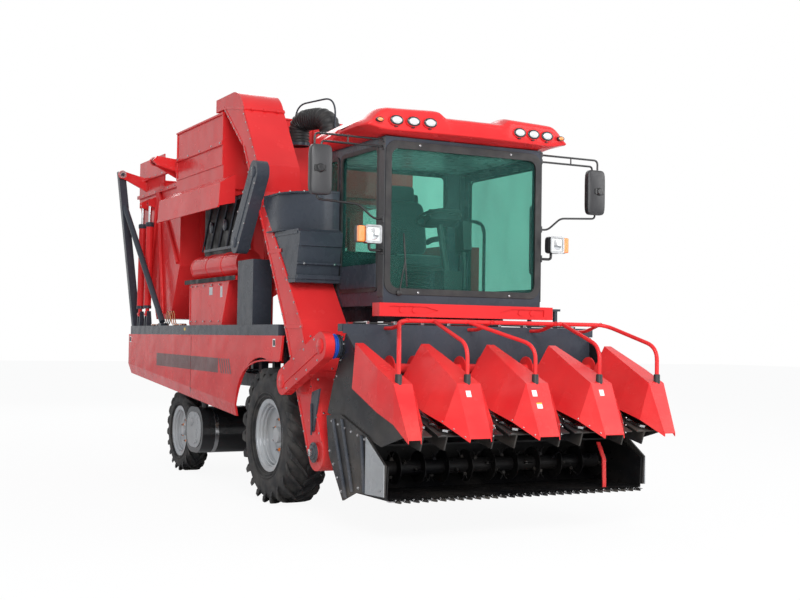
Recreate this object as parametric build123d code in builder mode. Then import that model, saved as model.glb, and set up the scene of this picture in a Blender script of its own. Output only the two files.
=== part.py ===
from build123d import *
import math
import os

os.makedirs("parts", exist_ok=True)

# A four-row corn combine harvester. Sizes are in millimetres: X is across, positive on the
# machine's left, Y runs back from the header and Z is up. A distance called back is counted
# from the front axle, so a negative one lies ahead of it.

# Running gear
front_axle_y = -930
wheelbase = 2930
front_tyre_d = 1230
front_tyre_w = 380
front_rim_d = 610
front_wheel_x = 1010
rear_tyre_d = 890
rear_tyre_w = 230
rear_rim_d = 508
rear_wheel_x = 965
kingpin_x = 790
kingpin_d = 50
front_stub_r = 60
rear_stub_r = 30
hinge_gap = 0.3

# Chassis and platform
rail_x = 380
rail_w = 80
rail_low = 960
rail_high = 1100
rail_front = -560
rail_back = 4440
body_half_w = 1215
skin = 20
beam_w = 80
beam_low = 1520
deck_z = 1620
deck_sheet = 20

# Cab
cab_half_w = 775
cab_front = -1470
cab_back = -80
cab_floor_z = 1840
cab_top_z = 3180
cab_wall = 45
glass_t = 6
door_t = 35
door_gap = 6
roof_half_w = 1000

# Ear elevator on the machine's right
trunk_out = -1200
trunk_in = -785
boot_back = -1130
boot_z = 560
boot_r = 155
hood_top = 3920

# Header, with its lift pivot
header_half_w = 1250
frame_half_w = 1180
pivot_back = -1500
pivot_z = 1440
pivot_tube_d = 90
row_pitch = 610
divider_tip = -2760
header_arm_x = 600
lift_x = 560
lift_base_back = -490
lift_base_z = 800
lift_eye_back = -1520
lift_eye_z = 740
lift_bore_d = 70

# Ear bin, with its tipping pivot
bin_right = -1100
bin_left = 1190
bin_front = 2950
bin_back = 4640
bin_low = 1700
bin_rim = 3440
bin_wall = 14
tip_x = -1400
tip_z = 3460
tip_pin_d = 40
post_back = 4420
arm_backs = (3000, 4330)
ram_backs = (3880, 4180)
ram_base_x = -1190
ram_base_z = 1760
ram_eye_x = -1180
ram_eye_z = 3080
ram_bore_d = 70

# Chopped-stalk spout
spout_x = -330
spout_back = 600
spout_r = 130
spout_joint_z = 3000


def point(x, back, z):
    """Give a point of the machine from its place across, behind the front axle and up."""
    return (x, front_axle_y + back, z)


def block(x, back, z, mode=Mode.ADD):
    """Add a block that spans three (low, high) pairs to the open piece."""
    spans = (x, back, z)
    middle = point(*[(low + high) / 2 for low, high in spans])
    with Locations(middle):
        Box(*[high - low for low, high in spans], mode=mode)


def slab(outline, x_from, x_to, mode=Mode.ADD):
    """Add a plate or box with a side outline of (back, z) points, between two places across."""
    with BuildSketch(Plane.YZ.offset(x_from)) as face:
        Polygon(*[(front_axle_y + back, z) for back, z in outline], align=None)
    extrude(face.sketch, amount=x_to - x_from, mode=mode)


def front_slab(outline, back_from, back_to, mode=Mode.ADD):
    """Add a plate or box with a front outline of (x, z) points, between two distances back."""
    with BuildSketch(Plane.XZ.offset(-front_axle_y - back_from)) as face:
        Polygon(*outline, align=None)
    extrude(face.sketch, amount=back_from - back_to, mode=mode)


def rod_x(x_from, x_to, back, z, radius, mode=Mode.ADD):
    """Add a round bar that lies across the machine."""
    start = point(x_from, back, z)
    with BuildSketch(Plane(origin=start, z_dir=(1, 0, 0))) as face:
        Circle(radius)
    extrude(face.sketch, amount=x_to - x_from, mode=mode)


def rod_y(x, back_from, back_to, z, radius, mode=Mode.ADD):
    """Add a round bar that lies along the machine."""
    with BuildSketch(Plane(origin=point(x, back_from, z), z_dir=(0, 1, 0))) as face:
        Circle(radius)
    extrude(face.sketch, amount=back_to - back_from, mode=mode)


def rod_z(x, back, z_from, z_to, radius, mode=Mode.ADD):
    """Add an upright round bar."""
    with BuildSketch(Plane(origin=point(x, back, z_from), z_dir=(0, 0, 1))) as face:
        Circle(radius)
    extrude(face.sketch, amount=z_to - z_from, mode=mode)


def rod_between(start, end, radius, mode=Mode.ADD):
    """Add a straight round bar between two machine points."""
    first = Vector(*point(*start))
    last = Vector(*point(*end))
    with BuildSketch(Plane(origin=first, z_dir=last - first)) as face:
        Circle(radius)
    extrude(face.sketch, amount=(last - first).length, mode=mode)


def bent_bar(route, radius, bend):
    """Add an eight-sided bar along machine points, each bend in two steps of a given reach."""
    places = [Vector(*point(*place)) for place in route]
    corners = [places[0]]
    for before, corner, after in zip(places, places[1:], places[2:]):
        into = (before - corner).normalized()
        away = (after - corner).normalized()
        corners += [corner + into * bend, corner + (into + away) * bend * 0.25, corner + away * bend]
    corners.append(places[-1])
    with BuildLine() as path:
        Polyline(*corners)
    with BuildSketch(path.line ^ 0) as face:
        RegularPolygon(radius, 8)
    sweep(face.sketch, path=path.line, transition=Transition.RIGHT)


def slot_slab(first, second, radius, x_from, x_to, mode=Mode.ADD):
    """Add a plate with round ends about two (back, z) centres."""
    ahead, rise = second[0] - first[0], second[1] - first[1]
    middle = (front_axle_y + first[0] + ahead / 2, first[1] + rise / 2)
    turn = math.degrees(math.atan2(rise, ahead))
    with BuildSketch(Plane.YZ.offset(x_from)) as face:
        with Locations(middle):
            SlotCenterToCenter(math.hypot(ahead, rise), 2 * radius, rotation=turn)
    extrude(face.sketch, amount=x_to - x_from, mode=mode)


# Chassis: two rails with the pedestals that carry the platform, and between the rails the cross
# members and the rear axle's hanger plates. Each member is a solid of its own, seated on the rails.
cross_member_backs = [-520, 150, 1400, wheelbase - 830, wheelbase + 670, rail_back - 40]
pedestal_backs = [-200, 1450, wheelbase - 780, wheelbase + 720, rail_back - 60]
cross_beam_low = 1500
seat_gap = 0.3
member_half = rail_x - rail_w / 2 - seat_gap
with BuildPart() as chassis_frame:
    for side in (-1, 1):
        inner, outer = side * (rail_x - rail_w / 2), side * (rail_x + rail_w / 2)
        block(sorted((inner, outer)), (rail_front, rail_back), (rail_low, rail_high))
        for back in pedestal_backs:
            block(sorted((inner, outer)), (back - 40, back + 40), (rail_high + seat_gap, cross_beam_low))
    for back in cross_member_backs:
        block((-member_half, member_half), (back - 40, back + 40), (rail_low, rail_high))
    # The rear axle hangs between two plates on its rocking pin.
    for back in (wheelbase - 90, wheelbase + 70):
        block((-member_half, member_half), (back, back + 20), (rail_low, rail_high))
        front_slab([(-200, rail_low), (200, rail_low), (90, 500), (-90, 500)], back, back + 20)
    rod_y(0, wheelbase - 100, wheelbase + 100, 560, 30 + hinge_gap, Mode.SUBTRACT)
    # A bracket outside each rail carries the header lift cylinder and the header arm.
    for side in (-1, 1):
        bracket_in = rail_x + rail_w / 2 + seat_gap
        block(sorted((side * bracket_in, side * (lift_x + 60))), (-550, -430), (rail_low + 20, rail_high))
        for x in (lift_x - 58, lift_x + 38):
            spans = sorted((side * x, side * (x + 20)))
            slab([(-550, rail_low + 20), (-430, rail_low + 20), (-450, 750), (-530, 750)], *spans)
        pin = sorted((side * (lift_x - 58), side * (lift_x + 58)))
        rod_x(*pin, lift_base_back, lift_base_z, 18)
        # Header arm, with an eye round the pivot tube.
        spans = sorted((side * (header_arm_x - 20), side * (header_arm_x + 20)))
        slot_slab((-640, 1050), (pivot_back, pivot_z), 70, *spans)
        block(spans, (-700, -550 - seat_gap), (985, 1095))
        rod_x(spans[0] - 1, spans[1] + 1, pivot_back, pivot_z, pivot_tube_d / 2 + hinge_gap, Mode.SUBTRACT)
chassis_frame.part.label = "chassis_frame"
export_step(chassis_frame.part, "parts/chassis_frame.step")

# Front drive axle: beam, central gearbox and a final drive beside each wheel.
front_axle_z = front_tyre_d / 2
with BuildPart() as front_axle:
    block((-700, 700), (-80, 80), (front_axle_z - 80, front_axle_z + 80))
    rod_x(-170, 170, 0, front_axle_z, 190)
    for side in (-1, 1):
        rod_x(*sorted((side * 640, side * 740)), 0, front_axle_z, 180)
        stub_end = front_wheel_x + 0.05 * front_tyre_w - hinge_gap
        rod_x(*sorted((side * 740, side * stub_end)), 0, front_axle_z, front_stub_r)
        # A pedestal seated on the beam meets the rail.
        spans = sorted((side * (rail_x - 60), side * (rail_x + 60)))
        block(spans, (-100, 100), (front_axle_z + 80 + seat_gap, rail_low))
front_axle.part.label = "front_axle"
export_step(front_axle.part, "parts/front_axle.step")

# Rear steering axle: a rocking beam with a kingpin at each end and a guide for the tie rod.
rear_axle_z = rear_tyre_d / 2
eye_half = 70
with BuildPart() as rear_axle:
    outline = [(-120, 640), (120, 640), (740, 540), (740, 440), (-740, 440), (-740, 540)]
    front_slab(outline, wheelbase - 60, wheelbase + 60)
    block((-70, 70), (wheelbase - 70 + hinge_gap, wheelbase + 70 - hinge_gap), (500, 620))
    rod_y(0, wheelbase - 95, wheelbase + 95, 560, 30)
    for side in (-1, 1):
        rod_z(side * kingpin_x, wheelbase, 490 - eye_half, 490 + eye_half, 60)
        rod_z(side * kingpin_x, wheelbase, 340, 640, kingpin_d / 2 + 0.05, Mode.SUBTRACT)
rear_axle.part.label = "rear_axle"
export_step(rear_axle.part, "parts/rear_axle.step")

# Steering knuckles: a yoke above and below the axle eye, its kingpin, stub axle and arm.
arm_back = 190
tie_half = 730
for side, label in ((-1, "knuckle_right"), (1, "knuckle_left")):
    with BuildPart() as knuckle:
        for z in (490 - eye_half - 32, 490 + eye_half + 2):
            spans = sorted((side * (kingpin_x - 45), side * (kingpin_x + 95)))
            block(spans, (wheelbase - 45, wheelbase + 45), (z, z + 30))
        spans = sorted((side * (kingpin_x + 68), side * (kingpin_x + 95)))
        block(spans, (wheelbase - 45, wheelbase + 45), (490 - eye_half - 32, 490 + eye_half + 32))
        rod_z(side * kingpin_x, wheelbase, 490 - eye_half - 32, 490 + eye_half + 32, kingpin_d / 2)
        stub_end = rear_wheel_x + 0.05 * rear_tyre_w - hinge_gap
        rod_x(*sorted((side * (kingpin_x + 80), side * stub_end)), wheelbase, rear_axle_z, rear_stub_r)
        # The steering arm reaches back from the yoke's lower plate.
        arm = sorted((side * (kingpin_x - 45), side * (kingpin_x + 10)))
        block(arm, (wheelbase + 45, wheelbase + arm_back), (388, 418))
        rod_z(side * tie_half, wheelbase + arm_back - 20, 388, 418, 35)
    knuckle.part.label = label
    export_step(knuckle.part, f"parts/{label}.step")

# Tie rod across the two arms, 0.3 mm above them.
with BuildPart() as tie_rod:
    rod_x(-tie_half, tie_half, wheelbase + arm_back - 20, 440, 18)
    for side in (-1, 1):
        rod_z(side * tie_half, wheelbase + arm_back - 20, 418 + hinge_gap, 465, 28)
tie_rod.part.label = "tie_rod"
export_step(tie_rod.part, "parts/tie_rod.step")

# Wheels: a dished rim and a tyre for each corner.
wheels = (
    # name, side, across, behind the front axle, tyre diameter, tyre width, rim diameter, stub radius
    ("front_right", -1, front_wheel_x, 0, front_tyre_d, front_tyre_w, front_rim_d, front_stub_r),
    ("front_left", 1, front_wheel_x, 0, front_tyre_d, front_tyre_w, front_rim_d, front_stub_r),
    ("rear_right", -1, rear_wheel_x, wheelbase, rear_tyre_d, rear_tyre_w, rear_rim_d, rear_stub_r),
    ("rear_left", 1, rear_wheel_x, wheelbase, rear_tyre_d, rear_tyre_w, rear_rim_d, rear_stub_r),
)
for name, side, across, back, tyre_d, tyre_w, rim_d, stub_r in wheels:
    hub = Plane(origin=point(side * across, back, tyre_d / 2), x_dir=(side, 0, 0), z_dir=(0, -side, 0))
    spin = Axis(hub.origin, (1, 0, 0))
    rim_r, flange_r, half, bore_r = rim_d / 2, rim_d / 2 + 25, tyre_w / 2, stub_r + hinge_gap
    with BuildPart() as tyre:
        with BuildSketch(hub) as section:
            with BuildLine():
                belly = rim_r + 0.4 * (tyre_d / 2 - rim_r)
                Polyline((-0.78 * half, rim_r), (-0.78 * half, flange_r + 4), (-half, belly),
                         (-0.93 * half, 0.45 * tyre_d), (-0.72 * half, 0.5 * tyre_d),
                         (0.72 * half, 0.5 * tyre_d), (0.93 * half, 0.45 * tyre_d), (half, belly),
                         (0.78 * half, flange_r + 4), (0.78 * half, rim_r), close=True)
            make_face()
        revolve(section.sketch, axis=spin)
    tyre.part.label = f"tyre_{name}"
    export_step(tyre.part, f"parts/tyre_{name}.step")
    with BuildPart() as rim:
        with BuildSketch(hub) as section:
            with BuildLine():
                # From the inner flange across the barrel, then down the dish to the hub.
                Polyline(
                    (-0.78 * half - 8, flange_r), (-0.78 * half, flange_r), (-0.78 * half, rim_r),
                    (0.78 * half, rim_r), (0.78 * half, flange_r), (0.78 * half + 8, flange_r),
                    (0.78 * half + 8, rim_r - 8), (0.30 * half, rim_r - 40), (0.12 * half, rim_r - 110),
                    (0.12 * half, 0.36 * rim_r), (0.30 * half, 0.34 * rim_r), (0.30 * half, 0),
                    (0.10 * half, 0), (0.10 * half, bore_r), (-0.10 * half, bore_r),
                    (-0.10 * half, 0.36 * rim_r), (0.02 * half, 0.40 * rim_r), (0.02 * half, rim_r - 105),
                    (0.18 * half, rim_r - 30), (0.0, rim_r - 12), (-0.78 * half - 8, rim_r - 12), close=True,
                )
            make_face()
        revolve(section.sketch, axis=spin)
    rim.part.label = f"rim_{name}"
    export_step(rim.part, f"parts/rim_{name}.step")

# Engine under the deck behind the cab, with its feet on the rails.
with BuildPart() as engine_block:
    block((-300, 300), (250, 1250), (820, 1480))
    block((-rail_x + rail_w / 2, rail_x - rail_w / 2), (300, 380), (1000, 1060))
    block((-rail_x + rail_w / 2, rail_x - rail_w / 2), (1120, 1200), (1000, 1060))
engine_block.part.label = "engine_block"
export_step(engine_block.part, "parts/engine_block.step")

# Fuel tank across the right side, ahead of the rear wheel, hung from the rail by a bracket.
tank_back = wheelbase - 845
with BuildPart() as fuel_tank:
    with BuildSketch(Plane.YZ.offset(-1180)) as end:
        with Locations((front_axle_y + tank_back, 520)):
            RectangleRounded(560, 480, 210)
    extrude(end.sketch, amount=1180 - rail_x - rail_w / 2 - 20)
    block((-rail_x - rail_w / 2 - 20, -rail_x - rail_w / 2), (tank_back - 165, tank_back + 165), (480, rail_high))
fuel_tank.part.label = "fuel_tank"
export_step(fuel_tank.part, "parts/fuel_tank.step")

# Side panels: a flat sheet with a wheel arch, its lower strip bent inwards.
panel_back = 4570
panel_front = -340
panel_low_front, panel_low_back = 740, 1040
strip_h = 120
with BuildPart() as side_panels:
    for side in (-1, 1):
        crease = Plane(
            origin=point(side * body_half_w, 830, panel_low_front + strip_h),
            x_dir=(-side, 0, 0),
            z_dir=(0, panel_back - 830, panel_low_back - panel_low_front),
        )
        with BuildSketch(crease) as sheet:
            # Flat above the crease, leaning in below it.
            Polygon((0, 0), (0, side * 800), (skin, side * 800), (skin, 0), (skin + 55, -side * 160),
                    (55, -side * 160), align=None)
        extrude(sheet.sketch, amount=4200, both=True)
    with BuildSketch(Plane.YZ) as outline:
        with BuildLine():
            arch_top = (front_axle_y - 60, 1295)
            Polyline(
                (front_axle_y + panel_front, 1295), (front_axle_y + panel_front - 60, beam_low),
                (front_axle_y + panel_back, beam_low), (front_axle_y + panel_back, panel_low_back),
                (front_axle_y + 830, panel_low_front), (front_axle_y + 740, 940),
            )
            ThreePointArc((front_axle_y + 740, 940), (front_axle_y + 500, 1205), arch_top)
            Line(arch_top, (front_axle_y + panel_front, 1295))
        make_face()
    extrude(outline.sketch, amount=2 * body_half_w, both=True, mode=Mode.INTERSECT)
side_panels.part.label = "side_panels"
export_step(side_panels.part, "parts/side_panels.step")

# Rear panel between the side panels.
with BuildPart() as rear_panel:
    half = body_half_w - skin
    block((-half, half), (panel_back - skin, panel_back), (panel_low_back + strip_h + 5, beam_low))
    for x in (-rail_x, rail_x):
        block((x - 40, x + 40), (rail_back, panel_back - skin), (rail_high - 60, rail_high))
        block((x - 40, x + 40), (panel_back - skin - 60, panel_back - skin), (rail_high, 1300))
rear_panel.part.label = "rear_panel"
export_step(rear_panel.part, "parts/rear_panel.step")

# Platform: side beams, cross beams on the pedestals, and the deck sheet, each a solid of its own.
beam_front = -300
beam_back = 4490
deck_front = 760
deck_half = body_half_w - beam_w - seat_gap
with BuildPart() as platform:
    for side in (-1, 1):
        spans = sorted((side * (body_half_w - beam_w), side * body_half_w))
        block(spans, (beam_front, beam_back), (beam_low, deck_z))
    for back in pedestal_backs:
        block((-deck_half, deck_half), (back - 30, back + 30), (cross_beam_low, deck_z - deck_sheet - seat_gap))
    block((-deck_half, deck_half), (deck_front, beam_back), (deck_z - deck_sheet, deck_z))
platform.part.label = "platform"
export_step(platform.part, "parts/platform.step")

# Cab base: two beams and a floor plate that carry the cab ahead of the front axle.
cab_base_top = cab_floor_z - 40
with BuildPart() as cab_base:
    for side in (-1, 1):
        spans = sorted((side * (rail_x - rail_w / 2), side * (rail_x + rail_w / 2)))
        block(spans, (cab_front + 40, 700), (1660, cab_base_top - 20))
        for back in (-480, 560):
            block(spans, (back - 40, back + 40), (rail_high, 1660))
        slab([(cab_front + 60, 1660), (cab_front + 160, 1660), (-460, rail_high + 60), (-460, rail_high),
              (rail_front + 20, rail_high)], spans[0] + 20, spans[1] - 20)
    block((-cab_half_w, cab_half_w), (cab_front + 40, 700), (cab_base_top - 20, cab_base_top))
    block((-cab_half_w, cab_half_w), (cab_front, cab_back), (cab_base_top, cab_floor_z))
cab_base.part.label = "cab_base"
export_step(cab_base.part, "parts/cab_base.step")

# Bumper under the windscreen, with tapered recesses near its ends.
bumper_half_w = 850
with BuildPart() as front_bumper:
    block((-bumper_half_w, bumper_half_w), (cab_front - 90, cab_front + 40), (1690, 1800))
    for side in (-1, 1):
        with BuildSketch(Plane.XZ.offset(-front_axle_y - cab_front + 90)) as recess:
            Polygon((side * 300, 1745), (side * 420, 1715), (side * 760, 1715), (side * 760, 1775),
                    (side * 420, 1775), align=None)
        extrude(recess.sketch, amount=-12, mode=Mode.SUBTRACT)
        for x in (520, 640):
            rod_y(side * x, cab_front - 86, cab_front - 70, 1745, 24)
front_bumper.part.label = "front_bumper"
export_step(front_bumper.part, "parts/front_bumper.step")

# Cab shell, with the window and door openings cut and the door's hinge pins on its side.
inner_half = cab_half_w - cab_wall
window_low, window_high = cab_floor_z + 70, cab_top_z - 80
door_front, door_back = cab_front + 75, cab_back - 75
door_in = cab_half_w + door_gap
hinge_x = door_in + door_t + 12
hinge_back = cab_back - 32
hinge_zs = (2150, 2850)
with BuildPart() as cab_frame:
    block((-cab_half_w, cab_half_w), (cab_front, cab_back), (cab_floor_z, cab_top_z))
    inside = (cab_front + cab_wall, cab_back - cab_wall)
    block((-inner_half, inner_half), inside, (cab_floor_z, cab_top_z - 35), Mode.SUBTRACT)
    # Windscreen, rear window, two right windows with a pillar between, and the door opening.
    block((-inner_half, inner_half), (cab_front - 1, cab_front + 60), (window_low, window_high), Mode.SUBTRACT)
    block((-600, 600), (cab_back - 60, cab_back + 1), (2300, window_high), Mode.SUBTRACT)
    for spans in ((cab_front + 110, cab_back - 560), (cab_back - 500, cab_back - 90)):
        block((-cab_half_w - 1, -inner_half + 1), spans, (window_low, window_high), Mode.SUBTRACT)
    block((inner_half - 1, cab_half_w + 1), (door_front, door_back), (cab_floor_z + 40, window_high),
          Mode.SUBTRACT)
    for z in hinge_zs:
        rod_z(hinge_x, hinge_back, z - 20, z + 80, 7)
        for low in (z - 22, z + 62):
            block((cab_half_w, hinge_x + 12), (hinge_back - 12, hinge_back + 12), (low, low + 20))
cab_frame.part.label = "cab_frame"
export_step(cab_frame.part, "parts/cab_frame.step")

# Fixed panes, each let into the middle of its wall.
pane_back = cab_front + 20
with BuildPart() as cab_windows:
    block((-inner_half, inner_half), (pane_back, pane_back + glass_t), (window_low, window_high))
    block((-600, 600), (cab_back - 25, cab_back - 25 + glass_t), (2300, window_high))
    for spans in ((cab_front + 110, cab_back - 560), (cab_back - 500, cab_back - 90)):
        block((-cab_half_w + 15, -cab_half_w + 15 + glass_t), spans, (window_low, window_high))
cab_windows.part.label = "cab_windows"
export_step(cab_windows.part, "parts/cab_windows.step")

# Door on the left side, hinged at its rear edge, and its pane.
with BuildPart() as cab_door:
    block((door_in, door_in + door_t), (door_front - 20, door_back + 20), (cab_floor_z + 25, window_high + 20))
    block((door_in - 1, door_in + door_t + 1), (door_front + 50, door_back - 50),
          (cab_floor_z + 110, window_high - 50), Mode.SUBTRACT)
    for z in hinge_zs:
        rod_z(hinge_x, hinge_back, z, z + 60, 14)
        block((door_in + door_t - 10, hinge_x), (door_back + 5, hinge_back), (z, z + 60))
        rod_z(hinge_x, hinge_back, z, z + 60, 7 + 0.05, Mode.SUBTRACT)
    # Grab handle on the inside of the front edge.
    grip_back = door_front + 28
    bent_bar([(door_in + 10, grip_back, 2100), (door_in - 45, grip_back, 2100),
              (door_in - 45, grip_back, 2700), (door_in + 10, grip_back, 2700)], 10, 25)
cab_door.part.label = "cab_door"
export_step(cab_door.part, "parts/cab_door.step")
with BuildPart() as door_glass:
    block((door_in + 14, door_in + 14 + glass_t), (door_front + 50, door_back - 50),
          (cab_floor_z + 110, window_high - 50))
door_glass.part.label = "door_glass"
export_step(door_glass.part, "parts/door_glass.step")

# Seat, and the steering column with its wheel.
with BuildPart() as driver_seat:
    block((-200, 200), (-680, -330), (cab_floor_z, cab_floor_z + 330))
    block((-250, 250), (-760, -290), (cab_floor_z + 330, cab_floor_z + 430))
    slab([(-330, cab_floor_z + 430), (-230, cab_floor_z + 430), (-150, cab_floor_z + 1010),
          (-240, cab_floor_z + 1030)], -240, 240)
driver_seat.part.label = "driver_seat"
export_step(driver_seat.part, "parts/driver_seat.step")
column_foot, column_head = (0, -1200, cab_floor_z), (0, -1010, cab_floor_z + 740)
with BuildPart() as steering_column:
    block((-90, 90), (-1280, -1120), (cab_floor_z, cab_floor_z + 260))
    rod_between((0, -1180, cab_floor_z + 200), column_head, 28)
    tilt = Vector(0, column_head[1] + 1180, column_head[2] - cab_floor_z - 200)
    wheel_plane = Plane(origin=point(*column_head), z_dir=tilt)
    with BuildSketch(Plane(origin=wheel_plane.origin, x_dir=wheel_plane.x_dir, z_dir=wheel_plane.y_dir)) as grip:
        with Locations((195, 0)):
            RegularPolygon(15, 6)
    revolve(grip.sketch, axis=Axis(wheel_plane.origin, wheel_plane.z_dir))
    with BuildSketch(wheel_plane.offset(-8)) as spokes:
        Circle(50)
        for turn in (90, 210, 330):
            with PolarLocations(110, 1, start_angle=turn):
                Rectangle(170, 26)
    extrude(spokes.sketch, amount=14)
steering_column.part.label = "steering_column"
export_step(steering_column.part, "parts/steering_column.step")

# Cab roof: a shallow crown with two raised lamp pods at its front corners.
roof_front = cab_front - 150
lamp_xs = (440, 590, 740)


def lamp_seat(side, x):
    """Give the plane of a lamp pocket's floor, facing ahead; the pod's face falls back outwards."""
    back = roof_front + 30 + (x - 330) * 60 / (roof_half_w - 330)
    return Plane(origin=point(side * x, back, cab_top_z + 112), x_dir=(1, 0, 0), z_dir=(0, -1, 0))


with BuildPart() as cab_roof:
    outline = [(roof_front, cab_top_z + 40), (roof_front - 20, cab_top_z + 150),
               (roof_front + 120, cab_top_z + 215), (cab_back + 60, cab_top_z + 130),
               (cab_back + 90, cab_top_z), (cab_front + 40, cab_top_z)]
    slab(outline, -cab_half_w - 40, cab_half_w + 40)
    for side in (-1, 1):
        # Each pod is a wedge that stands above and outside the crown.
        with BuildSketch(Plane.YZ.offset(side * 330)) as low_end:
            Polygon(*[(front_axle_y + roof_front + b, cab_top_z + z) for b, z in (
                (0, 40), (-20, 170), (120, 245), (700, 170), (700, 60))], align=None)
        with BuildSketch(Plane.YZ.offset(side * roof_half_w)) as tip_end:
            Polygon(*[(front_axle_y + roof_front + b, cab_top_z + z) for b, z in (
                (60, 60), (10, 130), (120, 190), (600, 120), (600, 60))], align=None)
        loft([low_end.sketch, tip_end.sketch], ruled=True)
    for side in (-1, 1):
        for x in lamp_xs:
            with BuildSketch(lamp_seat(side, x)) as pocket:
                Ellipse(70, 48)
            extrude(pocket.sketch, amount=120, mode=Mode.SUBTRACT)
cab_roof.part.label = "cab_roof"
export_step(cab_roof.part, "parts/cab_roof.step")

# Work lamps, three in each pod, each on the floor of its pocket.
with BuildPart() as roof_lamps:
    for side in (-1, 1):
        for x in lamp_xs:
            with BuildSketch(lamp_seat(side, x)) as lens:
                Ellipse(60, 40)
            extrude(lens.sketch, amount=36)
roof_lamps.part.label = "roof_lamps"
export_step(roof_lamps.part, "parts/roof_lamps.step")

# Mirrors and head lamps on tubular arms at the cab's front pillars.
foot = cab_front + 20
mirror_x = 1375
with BuildPart() as mirrors:
    for side in (-1, 1):
        reach = side * mirror_x
        for x, z in ((reach + side * 25, 3150), (reach - side * 35, 3090)):
            # The upper bar runs out further than the lower one.
            bent_bar([(side * cab_half_w, foot, z), (x, foot, z), (x, foot, 3030)], 9, 30)
        bent_bar([(side * cab_half_w, foot, 2490), (side * 860, foot, 2490), (side * 1000, foot, 2600),
                  (reach, foot, 2620), (reach, foot, 2690)], 9, 30)
        block(sorted((reach - side * 90, reach + side * 80)), (foot - 65, foot + 15), (2680, 3040))
mirrors.part.label = "mirrors"
export_step(mirrors.part, "parts/mirrors.step")
with BuildPart() as head_lamps:
    for side in (-1, 1):
        bent_bar([(side * cab_half_w, foot, 2230), (side * 900, foot, 2230), (side * 900, foot, 2290)], 12, 20)
        block(sorted((side * 830, side * 975)), (foot - 80, foot + 20), (2280, 2430))
        block(sorted((side * 975, side * 1035)), (foot - 70, foot + 20), (2285, 2425))
head_lamps.part.label = "head_lamps"
export_step(head_lamps.part, "parts/head_lamps.step")

# Ear elevator: a slanted trunk with a rounded boot at its foot.
def trunk_face(z):
    """Give how far back the trunk's front face lies at a height."""
    return -780 + (z - 1660) * 820 / 970


trunk_outline = [(710, 3340), (190, 2540), (-370, 1660), (boot_back + 140, boot_z - 60),
                 (boot_back - 145, boot_z + 50), (trunk_face(1660), 1660), (trunk_face(2860), 2860), (300, 3120)]
with BuildPart() as ear_elevator:
    slab(trunk_outline, trunk_out, trunk_in)
    rod_x(trunk_out, trunk_in, boot_back, boot_z, boot_r)
    rod_x(trunk_out - 22, trunk_out, boot_back, boot_z, 62)
    # Plate and arm that carry the trunk from the front cross member.
    slab([(-950, 1000), (-440, 1000), (-440, 1090), (-950, 1090)], trunk_in, trunk_in + 15)
    block((trunk_in + 15, -lift_x - 60), (-540, -440), (1000, 1090))
ear_elevator.part.label = "ear_elevator"
export_step(ear_elevator.part, "parts/ear_elevator.step")

# Hood over the elevator head, with a rounded crown.
with BuildPart() as elevator_hood:
    with BuildSketch(Plane.YZ.offset(trunk_out)) as cap:
        with BuildLine():
            hem = (front_axle_y + 710, 3710)
            crown = (front_axle_y + 1050, hood_top)
            ThreePointArc(hem, (front_axle_y + 840, 3862), crown)
            Polyline(crown, (front_axle_y + 1520, hood_top), (front_axle_y + 1520, 3790),
                     (front_axle_y + 1250, 3790), (front_axle_y + 710, 3340), (front_axle_y + 300, 3120), hem)
        make_face()
    extrude(cap.sketch, amount=trunk_in - trunk_out)
elevator_hood.part.label = "elevator_hood"
export_step(elevator_hood.part, "parts/elevator_hood.step")

# Cleaning fan on the trunk's front, and the flared duct below it.
fan_low, fan_high = 2450, 2800
with BuildPart() as fan_housing:
    with BuildSketch(Plane.XY.offset(fan_low)) as scroll:
        with BuildLine():
            Polyline((trunk_in, front_axle_y - 620), (trunk_in, front_axle_y + 120),
                     (trunk_out - 10, front_axle_y + 120), (trunk_out - 10, front_axle_y - 180))
            ThreePointArc((trunk_out - 10, front_axle_y - 180), (trunk_out + 125, front_axle_y - 500),
                          (trunk_in, front_axle_y - 620))
        make_face()
    extrude(scroll.sketch, amount=fan_high - fan_low)
    slab([(trunk_face(2300), 2300), (trunk_face(3000), 3000), (900, 3000), (900, 2300)],
         trunk_out - 60, trunk_in + 60, Mode.SUBTRACT)
    slab([(trunk_face(2000), 2000), (-620, 2000), (-700, 2400), (-660, fan_low), (trunk_face(fan_low), fan_low)],
         trunk_out + 5, trunk_in - 5)
    slab([(trunk_face(1985), 1985), (-650, 1985), (-655, 2015), (trunk_face(2015), 2015)], trunk_out - 10, trunk_in)
fan_housing.part.label = "fan_housing"
export_step(fan_housing.part, "parts/fan_housing.step")

# Drive covers on the trunk's right face.
with BuildPart() as drive_covers:
    slot_slab((120, 3020), (580, 2400), 105, trunk_out - 120, trunk_out)
    block((-1190, -1000), (410, 820), (deck_z, 2240))
drive_covers.part.label = "drive_covers"
export_step(drive_covers.part, "parts/drive_covers.step")
guard_in = min(trunk_out - 65, -frame_half_w - 85)
with BuildPart() as header_drive_guard:
    slot_slab((-720, 1130), (pivot_back, pivot_z), 115, guard_in - 80, guard_in)
    rod_x(guard_in, trunk_out, -760, 1200, 40)
header_drive_guard.part.label = "header_drive_guard"
export_step(header_drive_guard.part, "parts/header_drive_guard.step")

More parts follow.
